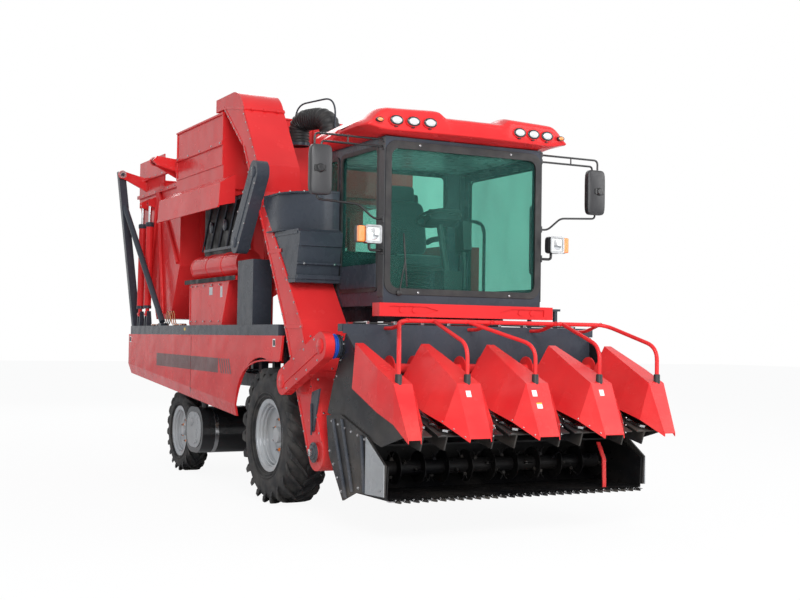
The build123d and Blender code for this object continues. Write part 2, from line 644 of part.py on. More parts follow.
# Husking unit: frame, roller bed, open hopper, apron, and the boxes under it.
husk_right, husk_left = -1190, 980
husk_front, husk_back = 1300, 2830
bed_low, bed_high, hopper_high = 3000, 3240, 3770
with BuildPart() as husking_bed:
    for x in (-690, husk_left - 80):
        for back in (husk_front + 40, husk_back - 120):
            block((x, x + 80), (back, back + 80), (deck_z, bed_low))
    for back in (husk_front + 40, husk_back - 120):
        block((husk_right, husk_left), (back, back + 80), (bed_low - 60, bed_low))
    block((husk_right, husk_left), (husk_front, husk_back), (bed_low, bed_high))
husking_bed.part.label = "husking_bed"
export_step(husking_bed.part, "parts/husking_bed.step")
with BuildPart() as husker_hopper:
    block((husk_right, husk_left), (husk_front, husk_back), (bed_high, hopper_high))
    block((husk_right + 12, husk_left - 12), (husk_front + 12, husk_back - 12), (bed_high, hopper_high),
          Mode.SUBTRACT)
    block((husk_right - 22, husk_right), (husk_front, husk_back), (3440, 3480))
    # Bracket for the bin's front hinge, on the rear wall.
    block((husk_right, bin_right), (husk_back, 2900), (3330, 3480))
    front_slab([(bin_right, 3330), (bin_right, 3480), (tip_x, 3510), (tip_x - 45, tip_z), (tip_x, 3410)],
               2900, bin_front - 15)
    rod_y(tip_x, bin_front - 15, arm_backs[0] + 45, tip_z, tip_pin_d / 2)
husker_hopper.part.label = "husker_hopper"
export_step(husker_hopper.part, "parts/husker_hopper.step")
with BuildPart() as husker_apron:
    front_slab([(husk_right, 3100), (-1345, 3010), (-1360, 2780), (-1350, 2780), (-1335, 3000), (husk_right, 3085)],
               950, 2970)
    front_slab([(husk_right, 3100), (-1345, 3010), (-1360, 2780), (husk_right, 2820)], 940, 950)
husker_apron.part.label = "husker_apron"
export_step(husker_apron.part, "parts/husker_apron.step")
with BuildPart() as husk_box:
    slab([(1270, deck_z), (2310, deck_z), (2310, 2060), (1070, 2060)], husk_right + 10, -700)
    block((husk_right - 10, -700), (860, 2430), (2060, 2100))
    rod_y(-1050, 900, 2290, 2230, 130)
    slab([(900, 2300), (2290, 2300), (2290, bed_low - 60), (900, bed_low - 60)], -1030, -1000)
husk_box.part.label = "husk_box"
export_step(husk_box.part, "parts/husk_box.step")

# Ear bin: an open hopper with its right wall braced by tubes, hung on two arms.
brace_r = 22
brace_x = bin_right - brace_r + bin_wall / 2
chute_front, chute_back = bin_front + 300, bin_back - 840
window_back = bin_front + 650
ear_side = [(bin_front, bin_rim), (bin_back, bin_rim), (bin_back, 3200), (chute_back, bin_low), (chute_front, bin_low),
            (bin_front, 2300)]
ear_end = [(bin_right, bin_rim), (bin_left, bin_rim), (bin_left, 2750), (-300, bin_low), (bin_right, bin_low)]
with BuildPart() as bin_inside:
    slab([(bin_front + bin_wall, bin_rim + bin_wall), (bin_back - bin_wall, bin_rim + bin_wall),
          (bin_back - bin_wall, 3205), (chute_back - bin_wall, bin_low + bin_wall),
          (chute_front + bin_wall, bin_low + bin_wall), (bin_front + bin_wall, 2305)],
         bin_right + bin_wall, bin_left - bin_wall)
    front_slab([(bin_right + bin_wall, bin_rim + bin_wall), (bin_left - bin_wall, bin_rim + bin_wall),
                (bin_left - bin_wall, 2750 + bin_wall), (-300, bin_low + bin_wall),
                (bin_right + bin_wall, bin_low + bin_wall)], bin_front - 50, bin_back + 50, Mode.INTERSECT)
with BuildPart() as ear_bin:
    slab(ear_side, bin_right, bin_left)
    front_slab(ear_end, bin_front - 50, bin_back + 50, Mode.INTERSECT)
    add(bin_inside.part, mode=Mode.SUBTRACT)
    # The right wall is open between its rails at the front and raised at the rear.
    block((bin_right - 1, bin_right + bin_wall + 1), (bin_front + 100, window_back), (3260, 3400), Mode.SUBTRACT)
    block((bin_right, bin_right + bin_wall), (window_back + 20, bin_back), (bin_rim, 3650))
    for z in (3220, 3420):
        block((bin_right - 30, bin_right), (bin_front, bin_back), (z - 20, z + 20))
    for top, foot in ((140, (bin_front + 30, 2330)), (160, (bin_front + 550, 1760)), (190, (bin_back - 580, 2120))):
        rod_between((brace_x, window_back + top, 3200), (brace_x, foot[0], foot[1]), brace_r)
    for back in arm_backs:
        front_slab([(bin_right, 3270), (bin_right, 3430), (tip_x, tip_z + 44), (tip_x, tip_z - 44)], back, back + 30)
        rod_y(tip_x, back, back + 30, tip_z, 50)
        rod_y(tip_x, back - 1, back + 31, tip_z, tip_pin_d / 2 + hinge_gap, Mode.SUBTRACT)
    for back in ram_backs:
        for ear in (back - 40, back + 26):
            front_slab([(bin_right, 3020), (bin_right, 3170), (ram_eye_x - 35, 3110), (ram_eye_x - 35, 3050)],
                       ear, ear + 14)
ear_bin.part.label = "ear_bin"
export_step(ear_bin.part, "parts/ear_bin.step")

# Leaning post and brace that carry the bin's rear hinge.
with BuildPart() as bin_post:
    front_slab([(-1215, deck_z), (-1125, deck_z), (tip_x + 45, 3500), (tip_x - 40, 3500)], post_back - 40,
               post_back + 40)
    rod_y(tip_x, arm_backs[1] - 15, post_back - 40, tip_z, tip_pin_d / 2)
    block((-1215, -1140), (3240, 3340), (deck_z, 1650))
    rod_between((-1180, 3300, 1665), (-1345, post_back - 20, 3080), 34)
    # Ears for the feet of the two rams, on the platform's beam.
    for back in ram_backs:
        for ear in (back - 50, back + 30):
            front_slab([(-1215, deck_z), (-1145, deck_z), (-1160, 1795), (-1205, 1795)], ear, ear + 20)
        rod_y(ram_base_x, back - 50, back + 50, ram_base_z, 16)
bin_post.part.label = "bin_post"
export_step(bin_post.part, "parts/bin_post.step")

# Two rams that tip the bin.
ram_reach = math.hypot(ram_eye_x - ram_base_x, ram_eye_z - ram_base_z)
ram_way = ((ram_eye_x - ram_base_x) / ram_reach, (ram_eye_z - ram_base_z) / ram_reach)


def ram_point(back, along):
    """Give a point of a bin ram's centre line, counted up from its foot."""
    return (ram_base_x + along * ram_way[0], back, ram_base_z + along * ram_way[1])


with BuildPart() as bin_ram_barrels:
    for back in ram_backs:
        rod_between(ram_point(back, 20), ram_point(back, 70), 24)
        rod_between(ram_point(back, 65), ram_point(back, ram_reach - 240), ram_bore_d / 2 + 7)
        rod_between(ram_point(back, 110), ram_point(back, ram_reach - 230), ram_bore_d / 2, Mode.SUBTRACT)
        rod_y(ram_base_x, back - 24, back + 24, ram_base_z, 32)
        rod_y(ram_base_x, back - 25, back + 25, ram_base_z, 16 + hinge_gap, Mode.SUBTRACT)
bin_ram_barrels.part.label = "bin_ram_barrels"
export_step(bin_ram_barrels.part, "parts/bin_ram_barrels.step")
with BuildPart() as bin_ram_rods:
    for back in ram_backs:
        rod_between(ram_point(back, 130), ram_point(back, 190), ram_bore_d / 2 - hinge_gap)
        rod_between(ram_point(back, 180), ram_point(back, ram_reach), 19)
        rod_y(ram_eye_x, back - 16, back + 16, ram_eye_z, 30)
        rod_y(ram_eye_x, back - 17, back + 17, ram_eye_z, 14, Mode.SUBTRACT)
bin_ram_rods.part.label = "bin_ram_rods"
export_step(bin_ram_rods.part, "parts/bin_ram_rods.step")

# Blower spout behind the cab: a fixed riser and a gooseneck that turns on it.
with BuildPart() as spout_riser:
    rod_z(spout_x, spout_back, cab_base_top, spout_joint_z - hinge_gap, spout_r - 12)
spout_riser.part.label = "spout_riser"
export_step(spout_riser.part, "parts/spout_riser.step")
mouth_x, mouth_back = spout_x - 160, spout_back + 420
with BuildPart() as spout:
    with BuildLine() as neck:
        Polyline(point(spout_x, spout_back, spout_joint_z), point(spout_x, spout_back, 3500),
                 point(spout_x - 21, spout_back + 55, 3640), point(spout_x - 71, spout_back + 187, 3700),
                 point(mouth_x + 71, mouth_back - 187, 3700), point(mouth_x + 21, mouth_back - 55, 3640),
                 point(mouth_x, mouth_back, 3500), point(mouth_x, mouth_back, 3450))
    with BuildSketch(neck.line ^ 0) as tube:
        RegularPolygon(spout_r - 18, 16)
        RegularPolygon(spout_r - 25, 16, mode=Mode.SUBTRACT)
    sweep(tube.sketch, path=neck.line, transition=Transition.RIGHT)
    rod_z(spout_x, spout_back, spout_joint_z, spout_joint_z + 40, spout_r)
    rod_z(spout_x, spout_back, spout_joint_z, spout_joint_z + 40, spout_r - 24, Mode.SUBTRACT)
    bent_bar([(spout_x, spout_back - 105, 3450), (spout_x, spout_back - 105, 3880),
              (mouth_x, mouth_back + 105, 3880), (mouth_x, mouth_back + 105, 3500)], 9, 150)
spout.part.label = "spout"
export_step(spout.part, "parts/spout.step")

# Left side: landing, ladder and rail beside the cab door, and the cooling box behind it.
landing_out = 1200
with BuildPart() as landing:
    block((cab_half_w, landing_out), (-1180, 160), (cab_base_top - 20, cab_base_top))
    block((cab_half_w, landing_out), (120, 160), (cab_base_top - 120, cab_base_top - 20))
    bent_bar([(landing_out - 20, 130, cab_base_top - 5), (landing_out - 20, 130, 2700), (840, 130, 2700),
              (840, 130, cab_base_top - 5)], 16, 120)
    for back in (-1160, -740):
        block((landing_out - 60, landing_out - 30), (back - 15, back + 15), (480, cab_base_top - 20))
    for z in (500, 800, 1100, 1400):
        block((landing_out - 150, landing_out), (-1145, -755), (z - 15, z + 15))
landing.part.label = "landing"
export_step(landing.part, "parts/landing.step")
with BuildPart() as cooling_box:
    block((800, 1190), (240, 1200), (deck_z, 2450))
    block((1150, 1191), (300, 1140), (deck_z + 70, 2380), Mode.SUBTRACT)
    for step in range(9):
        z = deck_z + 110 + step * 82
        block((1160, 1180), (300, 1140), (z, z + 30))
cooling_box.part.label = "cooling_box"
export_step(cooling_box.part, "parts/cooling_box.step")

# Header frame: pivot tube, top beam, back plate, lower beam and the ears for its lift rods.
plate_back = -1652
with BuildPart() as header_frame:
    rod_x(-frame_half_w, frame_half_w, pivot_back, pivot_z, pivot_tube_d / 2)
    block((-1220, 1220), (-1640, -1560), (1560, 1620))
    block((-frame_half_w, frame_half_w), (plate_back, -1640), (700, 1620))
    block((-frame_half_w, frame_half_w), (-1640, -1590), (700, 780))
    for x in (-1000, -300, 300, 1000):
        slab([(-1640, 1600), (-1560, 1600), (pivot_back + 30, pivot_z), (pivot_back, pivot_z - 60), (-1640, 1380)],
             x - 10, x + 10)
        block((x - 25, x + 25), (-1640, -1590), (780, 1380))
    for side in (-1, 1):
        for x in (lift_x - 56, lift_x + 42):
            spans = sorted((side * x, side * (x + 14)))
            slab([(-1640, 700), (lift_eye_back + 35, 710), (lift_eye_back + 35, 770), (-1640, 840)], *spans)
    # Driven pulley on the right end of the pivot tube.
    for x in (-frame_half_w - 16, -frame_half_w - 38):
        rod_x(x, x + 16, pivot_back, pivot_z, 95)
    rod_x(-frame_half_w - 38, -frame_half_w, pivot_back, pivot_z, 80)
header_frame.part.label = "header_frame"
export_step(header_frame.part, "parts/header_frame.step")

# Header side walls, each with the skirt plate that hangs outside it.
with BuildPart() as header_sides:
    for side in (-1, 1):
        spans = sorted((side * frame_half_w, side * (frame_half_w + 12)))
        slab([(-1652, 1540), (-1420, 1120), (-1330, 900), (-2300, 700), (-2660, 800), (-1960, 1300), (-1780, 1440)],
             *spans)
        rod_x(spans[0] - 1, spans[1] + 1, pivot_back, pivot_z, 100, Mode.SUBTRACT)
        spans = sorted((side * (frame_half_w + 12), side * (frame_half_w + 26)))
        slab([(-1340, 880), (-1400, 560), (-1670, 230), (-1910, 320), (-2380, 340), (-2395, 570), (-2100, 760),
              (-1620, 900)], *spans)
header_sides.part.label = "header_sides"
export_step(header_sides.part, "parts/header_sides.step")

# Crop dividers: folded hoods with a flat snout face, flared sides and an open underside.
rear_top, fold_top, snout_low = (-1900, 1470), (-2580, 1180), (divider_tip, 790)
hood_sheet = 6


def divider_sections(x, left_flare, right_flare, inset):
    """Give the four cross sections of a divider from its rear peak to its snout."""
    table = (
        # back, top z, bottom z, top half width, share of the flare
        (rear_top[0], rear_top[1], 1120, 35, 1.0),
        (-2330, 1287, 960, 80, 1.0),
        (fold_top[0], fold_top[1], 885, 100, 0.85),
        (snout_low[0], snout_low[1], 760, 90, 0.38),
    )
    for back, top, bottom, half, share in table:
        left, right = left_flare * share, right_flare * share
        yield back, [(x - min(half, left) + inset, top - inset), (x + min(half, right) - inset, top - inset),
                     (x + right - inset, bottom - 2 * inset), (x - left + inset, bottom - 2 * inset)]


def divider_body(x, left_flare, right_flare, inset, mode=Mode.ADD):
    """Add the solid between a divider's sections."""
    faces = []
    for back, outline in divider_sections(x, left_flare, right_flare, inset):
        with BuildSketch(Plane.XZ.offset(-front_axle_y - back)) as face:
            Polygon(*outline, align=None)
        faces.append(face.sketch)
    loft(faces, ruled=True, mode=mode)


flare = 255
edge_flare = 60
outer_x = header_half_w - edge_flare
outer_flare = outer_x - row_pitch - (row_pitch - flare)
socket_back, socket_top = -2555, 1205
dividers = (
    # node, then for each divider its place across and its flares to the right and left
    ("inner_dividers", ((-row_pitch, flare, flare), (0, flare, flare), (row_pitch, flare, flare))),
    ("outer_dividers", ((-outer_x, edge_flare, outer_flare), (outer_x, outer_flare, edge_flare))),
)
for label, rows in dividers:
    with BuildPart() as divider:
        for x, right_flare, left_flare in rows:
            divider_body(x, right_flare, left_flare, 0)
        for x, right_flare, left_flare in rows:
            divider_body(x, right_flare, left_flare, hood_sheet, Mode.SUBTRACT)
        for x, right_flare, left_flare in rows:
            rod_z(x, socket_back, 1150, socket_top, 22)
    divider.part.label = label
    export_step(divider.part, f"parts/{label}.step")

# Snapping decks: two sheets for each row on side channels, with the stalk slot between them.
row_xs = [-1.5 * row_pitch, -0.5 * row_pitch, 0.5 * row_pitch, 1.5 * row_pitch]
deck_rear, deck_nose = (plate_back, 1130), (-2620, 800)
slot_half = 25
with BuildPart() as snapping_decks:
    for x in row_xs:
        for side in (-1, 1):
            spans = sorted((x + side * slot_half, x + side * (row_pitch / 2 - 45)))
            slab([deck_rear, deck_nose, (deck_nose[0], deck_nose[1] - 8), (deck_rear[0], deck_rear[1] - 8)], *spans)
            spans = sorted((x + side * 95, x + side * 107))
            slab([(deck_rear[0], deck_rear[1] - 8), (deck_nose[0], deck_nose[1] - 8),
                  (deck_nose[0] + 40, deck_nose[1] - 110), (deck_rear[0], deck_rear[1] - 260)], *spans)
        slab([(deck_rear[0], 870), (deck_rear[0], 1000), (deck_rear[0] - 180, 940), (deck_rear[0] - 180, 840)],
             x - 95, x + 95)
snapping_decks.part.label = "snapping_decks"
export_step(snapping_decks.part, "parts/snapping_decks.step")

# Gathering chains: two for each row, a flat loop with lugs that reach into the row.
deck_fall = math.atan2(deck_rear[1] - deck_nose[1], deck_rear[0] - deck_nose[0])
chain_rise = 24
chain_centre = (-2240, deck_rear[1] - (deck_rear[0] + 2240) * math.tan(deck_fall) + chain_rise)
chain_length, chain_half_w = 760, 55
lug_reach = 34


def chain_outline(half_w):
    """Give the corners of a loop with round ends made of three flats each."""
    reach = chain_length / 2 - chain_half_w
    turns = [-90, -45, 0, 45, 90]
    ahead = [(reach + half_w * math.cos(math.radians(a)), half_w * math.sin(math.radians(a))) for a in turns]
    behind = [(-x, -y) for x, y in ahead]
    return ahead + behind


with BuildPart() as gathering_chains:
    for x in row_xs:
        for side in (-1, 1):
            loop = Plane(
                origin=point(x + side * 120, chain_centre[0], chain_centre[1]),
                x_dir=(0, -math.cos(deck_fall), -math.sin(deck_fall)),
                z_dir=(0, -math.sin(deck_fall), math.cos(deck_fall)),
            )
            with BuildSketch(loop.offset(-9)) as links:
                Polygon(*chain_outline(chain_half_w), align=None)
                Polygon(*chain_outline(chain_half_w - 18), align=None, mode=Mode.SUBTRACT)
                # Lugs along both runs of the loop.
                for step in range(-2, 3):
                    for run in (-1, 1):
                        with Locations((step * 130 + run * 30, run * (chain_half_w + lug_reach / 2 - 4))):
                            Rectangle(20, lug_reach)
            extrude(links.sketch, amount=18)
            # A sprocket at each end of the loop, on a pin that stands on the deck sheet.
            for end in (-1, 1):
                place = (end * (chain_length / 2 - chain_half_w), 0)
                with BuildSketch(loop.offset(-7)) as wheel:
                    with Locations(place):
                        RegularPolygon(chain_half_w - 17, 8)
                extrude(wheel.sketch, amount=14)
                with BuildSketch(loop.offset(-chain_rise * math.cos(deck_fall))) as pin:
                    with Locations(place):
                        Rectangle(24, 24)
                extrude(pin.sketch, amount=chain_rise * math.cos(deck_fall))
gathering_chains.part.label = "gathering_chains"
export_step(gathering_chains.part, "parts/gathering_chains.step")

# Guard pipes: a cross pipe with a branch that bends down to each divider.
pipe_r = 17
branch_r = 15
pipe_z = 1650
pipe_back = -2000
with BuildPart() as guard_pipes:
    bent_bar([(-outer_x, socket_back, socket_top), (-outer_x, socket_back, 1470), (-900, pipe_back, pipe_z),
              (1080, pipe_back, pipe_z), (outer_x, socket_back, 1470), (outer_x, socket_back, socket_top)],
             pipe_r, 90)
    for x_start, x_end in ((-row_pitch + 20, -row_pitch), (-280, 0), (640, row_pitch)):
        bent_bar([(x_start, pipe_back, pipe_z), (x_end, socket_back, 1470), (x_end, socket_back, socket_top)],
                 branch_r, 90)
    for x in (-840, -60, 560, 1020):
        bent_bar([(x, pipe_back, pipe_z), (x, -1800, 1590), (x, plate_back, 1590)], branch_r, 80)
guard_pipes.part.label = "guard_pipes"
export_step(guard_pipes.part, "parts/guard_pipes.step")

# Cross auger behind the rows: a tube with flights, turning in the side walls.
auger_back, auger_z, auger_r = -1775, 1270, 105
flight_count = 11
flight_step = 2 * (frame_half_w - 100) / (flight_count - 1)
flight_xs = [100 - frame_half_w + flight_step * number for number in range(flight_count)]


def flight(x, back, z, radius):
    """Add a flat-sided disc on a shaft that lies across the machine."""
    with BuildSketch(Plane(origin=point(x - 4, back, z), z_dir=(1, 0, 0))) as face:
        RegularPolygon(radius, 16)
    extrude(face.sketch, amount=8)


with BuildPart() as cross_auger:
    rod_x(-frame_half_w + hinge_gap, frame_half_w - hinge_gap, auger_back, auger_z, 40)
    for x in flight_xs:
        flight(x, auger_back, auger_z, auger_r)
cross_auger.part.label = "cross_auger"
export_step(cross_auger.part, "parts/cross_auger.step")

# Stalk header below: an open-fronted trough with a knife edge, and its rotor.
with BuildPart() as stalk_trough:
    slab([(-1590, 700), (-1610, 430), (-1760, 310), (-2360, 310), (-2375, 324), (-1765, 324), (-1624, 436),
          (-1604, 686), (-2080, 686), (-2080, 700)], -frame_half_w, frame_half_w)
    for side in (-1, 1):
        spans = sorted((side * (frame_half_w - 10), side * frame_half_w))
        slab([(-1604, 690), (-1620, 430), (-1765, 320), (-2370, 320), (-2385, 560), (-2080, 690)], *spans)
stalk_trough.part.label = "stalk_trough"
export_step(stalk_trough.part, "parts/stalk_trough.step")
rotor_back, rotor_z, rotor_r = -1880, 495, 130
with BuildPart() as stalk_rotor:
    rod_x(-frame_half_w + 10 + hinge_gap, frame_half_w - 10 - hinge_gap, rotor_back, rotor_z, 60)
    for x in flight_xs:
        flight(x, rotor_back, rotor_z, rotor_r)
stalk_rotor.part.label = "stalk_rotor"
export_step(stalk_rotor.part, "parts/stalk_rotor.step")

# Header lift rams, one under each arm.
lift_reach = math.hypot(lift_eye_back - lift_base_back, lift_eye_z - lift_base_z)
lift_way = ((lift_eye_back - lift_base_back) / lift_reach, (lift_eye_z - lift_base_z) / lift_reach)


def lift_point(x, along):
    """Give a point of a lift ram's centre line, counted forward from its base."""
    return (x, lift_base_back + along * lift_way[0], lift_base_z + along * lift_way[1])


with BuildPart() as lift_ram_barrels:
    for x in (-lift_x, lift_x):
        rod_between(lift_point(x, 20), lift_point(x, 85), 24)
        rod_between(lift_point(x, 75), lift_point(x, lift_reach - 250), lift_bore_d / 2 + 7)
        rod_between(lift_point(x, 110), lift_point(x, lift_reach - 240), lift_bore_d / 2, Mode.SUBTRACT)
        rod_x(x - 30, x + 30, lift_base_back, lift_base_z, 34)
        rod_x(x - 31, x + 31, lift_base_back, lift_base_z, 18 + hinge_gap, Mode.SUBTRACT)
lift_ram_barrels.part.label = "lift_ram_barrels"
export_step(lift_ram_barrels.part, "parts/lift_ram_barrels.step")
with BuildPart() as lift_ram_rods:
    for x in (-lift_x, lift_x):
        # The piston stays clear of the closed end with the header at its lowest.
        rod_between(lift_point(x, 165), lift_point(x, 225), lift_bore_d / 2 - hinge_gap)
        rod_between(lift_point(x, 215), lift_point(x, lift_reach), 20)
        rod_x(x - 25, x + 25, lift_eye_back, lift_eye_z, 30)
        rod_x(x - 26, x + 26, lift_eye_back, lift_eye_z, 14, Mode.SUBTRACT)
lift_ram_rods.part.label = "lift_ram_rods"
export_step(lift_ram_rods.part, "parts/lift_ram_rods.step")
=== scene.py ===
import math
import bmesh
import bpy
from mathutils import Matrix, Vector


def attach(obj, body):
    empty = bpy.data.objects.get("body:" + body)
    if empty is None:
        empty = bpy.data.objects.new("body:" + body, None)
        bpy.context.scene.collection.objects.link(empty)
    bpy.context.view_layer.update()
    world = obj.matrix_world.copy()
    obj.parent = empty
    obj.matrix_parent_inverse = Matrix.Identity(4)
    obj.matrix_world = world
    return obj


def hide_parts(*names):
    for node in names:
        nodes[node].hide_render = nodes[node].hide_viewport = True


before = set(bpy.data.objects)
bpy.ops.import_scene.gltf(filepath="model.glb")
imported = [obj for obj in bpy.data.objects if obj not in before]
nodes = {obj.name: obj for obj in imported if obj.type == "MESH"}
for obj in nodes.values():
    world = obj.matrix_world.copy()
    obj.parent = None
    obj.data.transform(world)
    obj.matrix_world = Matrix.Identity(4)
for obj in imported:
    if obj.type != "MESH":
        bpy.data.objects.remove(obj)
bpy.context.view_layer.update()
AXLE_Y = -0.93  # the front axle's place in the row frame


# Camera: at the photograph's viewing angle, worked out for an 800 x 600 image.
YAW, PITCH, ROLL = math.radians(27.8), math.radians(1.85), math.radians(0.86)
EYE = Vector((-5.35, -11.38, 1.5))
SENSOR_MM, LENS_MM, FAR_M = 36, 55.3, 200


def make_camera():
    """Place the camera so that the machine lies in the frame as in the photograph."""
    ahead = Vector((math.sin(YAW) * math.cos(PITCH), math.cos(YAW) * math.cos(PITCH), math.sin(PITCH)))
    flat_right = Vector((math.cos(YAW), -math.sin(YAW), 0))
    flat_up = flat_right.cross(ahead)
    right = math.cos(ROLL) * flat_right + math.sin(ROLL) * flat_up
    up = math.cos(ROLL) * flat_up - math.sin(ROLL) * flat_right
    data = bpy.data.cameras.new("camera")
    data.sensor_width = SENSOR_MM
    data.lens = LENS_MM
    data.clip_end = FAR_M
    camera = bpy.data.objects.new("camera", data)
    turn = Matrix((right, up, -ahead)).transposed()
    camera.matrix_world = Matrix.Translation(EYE) @ turn.to_4x4()
    bpy.context.scene.collection.objects.link(camera)
    bpy.context.scene.camera = camera


make_camera()


# Materials: each is a small node tree with its own colour change, dust and fine bump.
class Tree:
    """A material's node tree, with short calls to add and join nodes."""

    def __init__(self, name):
        self.material = bpy.data.materials.new(name)
        self.material.use_nodes = True
        self.tree = self.material.node_tree
        self.tree.nodes.clear()
        self.out = self.add("ShaderNodeOutputMaterial")
        self.position = self.add("ShaderNodeNewGeometry").outputs["Position"]

    def add(self, kind, **settings):
        node = self.tree.nodes.new(kind)
        for key, value in settings.items():
            setattr(node, key, value)
        return node

    def join(self, source, target):
        self.tree.links.new(source, target)

    def feed(self, socket, value):
        """Join a socket to an input, or set the input to a plain value."""
        if isinstance(value, bpy.types.NodeSocket):
            self.join(value, socket)
        else:
            socket.default_value = value

    def noise(self, scale, detail=3.0, stretch=(1, 1, 1)):
        """Give a noise value over the surface, in the row frame."""
        mapping = self.add("ShaderNodeMapping")
        mapping.inputs["Scale"].default_value = stretch
        self.join(self.position, mapping.inputs["Vector"])
        node = self.add("ShaderNodeTexNoise")
        node.inputs["Scale"].default_value = scale
        node.inputs["Detail"].default_value = detail
        self.join(mapping.outputs[0], node.inputs["Vector"])
        return node.outputs["Fac"]

    def ramp(self, value, low, high, bottom=(0, 0, 0, 1), top=(1, 1, 1, 1)):
        """Give a colour that goes from bottom to top as value goes from low to high."""
        node = self.add("ShaderNodeValToRGB")
        node.color_ramp.elements[0].position = low
        node.color_ramp.elements[0].color = bottom
        node.color_ramp.elements[1].position = high
        node.color_ramp.elements[1].color = top
        self.join(value, node.inputs["Fac"])
        return node.outputs["Color"]

    def mix(self, factor, first, second):
        """Mix two colours; each input is a socket or a plain value."""
        node = self.add("ShaderNodeMix", data_type="RGBA")
        for socket, value in (("Factor", factor), (6, first), (7, second)):
            self.feed(node.inputs[socket], value)
        return node.outputs[2]

    def math(self, operation, first, second):
        node = self.add("ShaderNodeMath", operation=operation)
        self.feed(node.inputs[0], first)
        self.feed(node.inputs[1], second)
        return node.outputs[0]

    def bump(self, height, distance, strength=1.0):
        node = self.add("ShaderNodeBump")
        node.inputs["Distance"].default_value = distance
        node.inputs["Strength"].default_value = strength
        self.join(height, node.inputs["Height"])
        return node.outputs["Normal"]

    def height_share(self, low, high):
        """Give 1 below low, 0 above high, in metres over the ground."""
        parts = self.add("ShaderNodeSeparateXYZ")
        self.join(self.position, parts.inputs[0])
        node = self.add("ShaderNodeMapRange")
        node.inputs["From Min"].default_value = low
        node.inputs["From Max"].default_value = high
        node.inputs["To Min"].default_value = 1
        node.inputs["To Max"].default_value = 0
        self.join(parts.outputs["Z"], node.inputs["Value"])
        return node.outputs[0]

    def surface(self, **values):
        """Add the shader, set its plain values and join its sockets."""
        shader = self.add("ShaderNodeBsdfPrincipled")
        for key, value in values.items():
            self.feed(shader.inputs[key.replace("_", " ")], value)
        self.join(shader.outputs[0], self.out.inputs["Surface"])
        return shader


DUST = (0.34, 0.29, 0.23, 1)


def paint(name, colour, deep, rough=0.3, coat=0.22, dust=0.18, waves=0.01):
    """Sprayed enamel: slow colour change, small chips and dust low down, and the waves of thin sheet."""
    t = Tree(name)
    base = t.mix(t.ramp(t.noise(1.7, 4), 0.35, 0.65), colour, deep)
    low = t.height_share(0.2, 1.6)
    chips = t.math("MULTIPLY", t.ramp(t.noise(46, 5), 0.7, 0.74), low)
    base = t.mix(t.math("MULTIPLY", chips, 0.35), base, (0.3, 0.27, 0.25, 1))
    grime = t.math("MULTIPLY", t.ramp(t.noise(2.6, 8, (1, 1, 2.0)), 0.38, 0.8), dust)
    grime = t.math("MULTIPLY", grime, t.math("ADD", t.math("MULTIPLY", low, 0.9), 0.1))
    base = t.mix(grime, base, DUST)
    roughness = t.math("ADD", t.math("MULTIPLY", grime, 0.9), t.math("MULTIPLY", t.noise(9, 2), 2 * (rough - 0.1)))
    t.surface(Base_Color=base, Roughness=roughness, Specular_IOR_Level=0.13, Coat_Weight=coat, Coat_Roughness=0.1,
              Normal=t.bump(t.noise(3.2, 1.5), waves))
    return t.material


def bare_metal(name, colour, rough=0.35, scale=(1, 60, 1), dust=0.15, bumps=0.0003):
    """Bare or plated metal with fine brush lines and stains."""
    t = Tree(name)
    lines = t.noise(24, 5, scale)
    base = t.mix(t.ramp(lines, 0.3, 0.7), colour, [0.72 * c for c in colour[:3]] + [1])
    stain = t.math("MULTIPLY", t.ramp(t.noise(5, 7), 0.45, 0.75), dust)
    base = t.mix(stain, base, (0.2, 0.15, 0.11, 1))
    roughness = t.math("ADD", t.math("MULTIPLY", lines, rough), t.math("MULTIPLY", stain, 0.8))
    t.surface(Base_Color=base, Roughness=roughness, Metallic=1.0, Normal=t.bump(lines, bumps))
    return t.material


def rubber(name, colour, dust=0.35, rough=0.75):
    """Matt rubber: fine grain, with dry dust that gathers low down."""
    t = Tree(name)
    base = t.mix(t.ramp(t.noise(14, 5), 0.35, 0.7), colour, [1.8 * c for c in colour[:3]] + [1])
    dusty = t.math("MULTIPLY", t.ramp(t.noise(9, 8), 0.4, 0.8), dust)
    base = t.mix(dusty, base, (0.17, 0.155, 0.135, 1))
    t.surface(Base_Color=base, Roughness=rough, Specular_IOR_Level=0.35, Normal=t.bump(t.noise(180, 4), 0.0008))
    return t.material


def plastic(name, colour, rough=0.4, grain=0.0004):
    """Moulded plastic with a fine grain."""
    t = Tree(name)
    base = t.mix(t.ramp(t.noise(5, 4), 0.35, 0.7), colour, [1.35 * c for c in colour[:3]] + [1])
    roughness = t.math("ADD", t.math("MULTIPLY", t.noise(30, 3), 0.2), rough - 0.1)
    t.surface(Base_Color=base, Roughness=roughness, Normal=t.bump(t.noise(420, 2), grain))
    return t.material


def glazing(name, tint, clear=0.9):
    """Tinted safety glass: mostly clear, with a greenish film and sharp reflections."""
    t = Tree(name)
    glass = t.add("ShaderNodeBsdfTransparent")
    glass.inputs["Color"].default_value = tint
    film = t.surface(Base_Color=(0.07, 0.19, 0.17, 1), Roughness=0.04, Specular_IOR_Level=0.5)
    facing = t.add("ShaderNodeLayerWeight")
    facing.inputs["Blend"].default_value = 0.25
    smears = t.math("MULTIPLY", t.ramp(t.noise(3, 6, (1, 1, 0.4)), 0.45, 0.8), 0.1)
    share = t.math("ADD", t.math("MULTIPLY", facing.outputs["Fresnel"], 0.25), t.math("ADD", smears, 1 - clear))
    shader = t.add("ShaderNodeMixShader")
    t.join(share, shader.inputs["Fac"])
    t.join(glass.outputs[0], shader.inputs[1])
    t.join(film.outputs[0], shader.inputs[2])
    t.join(shader.outputs[0], t.out.inputs["Surface"])
    return t.material


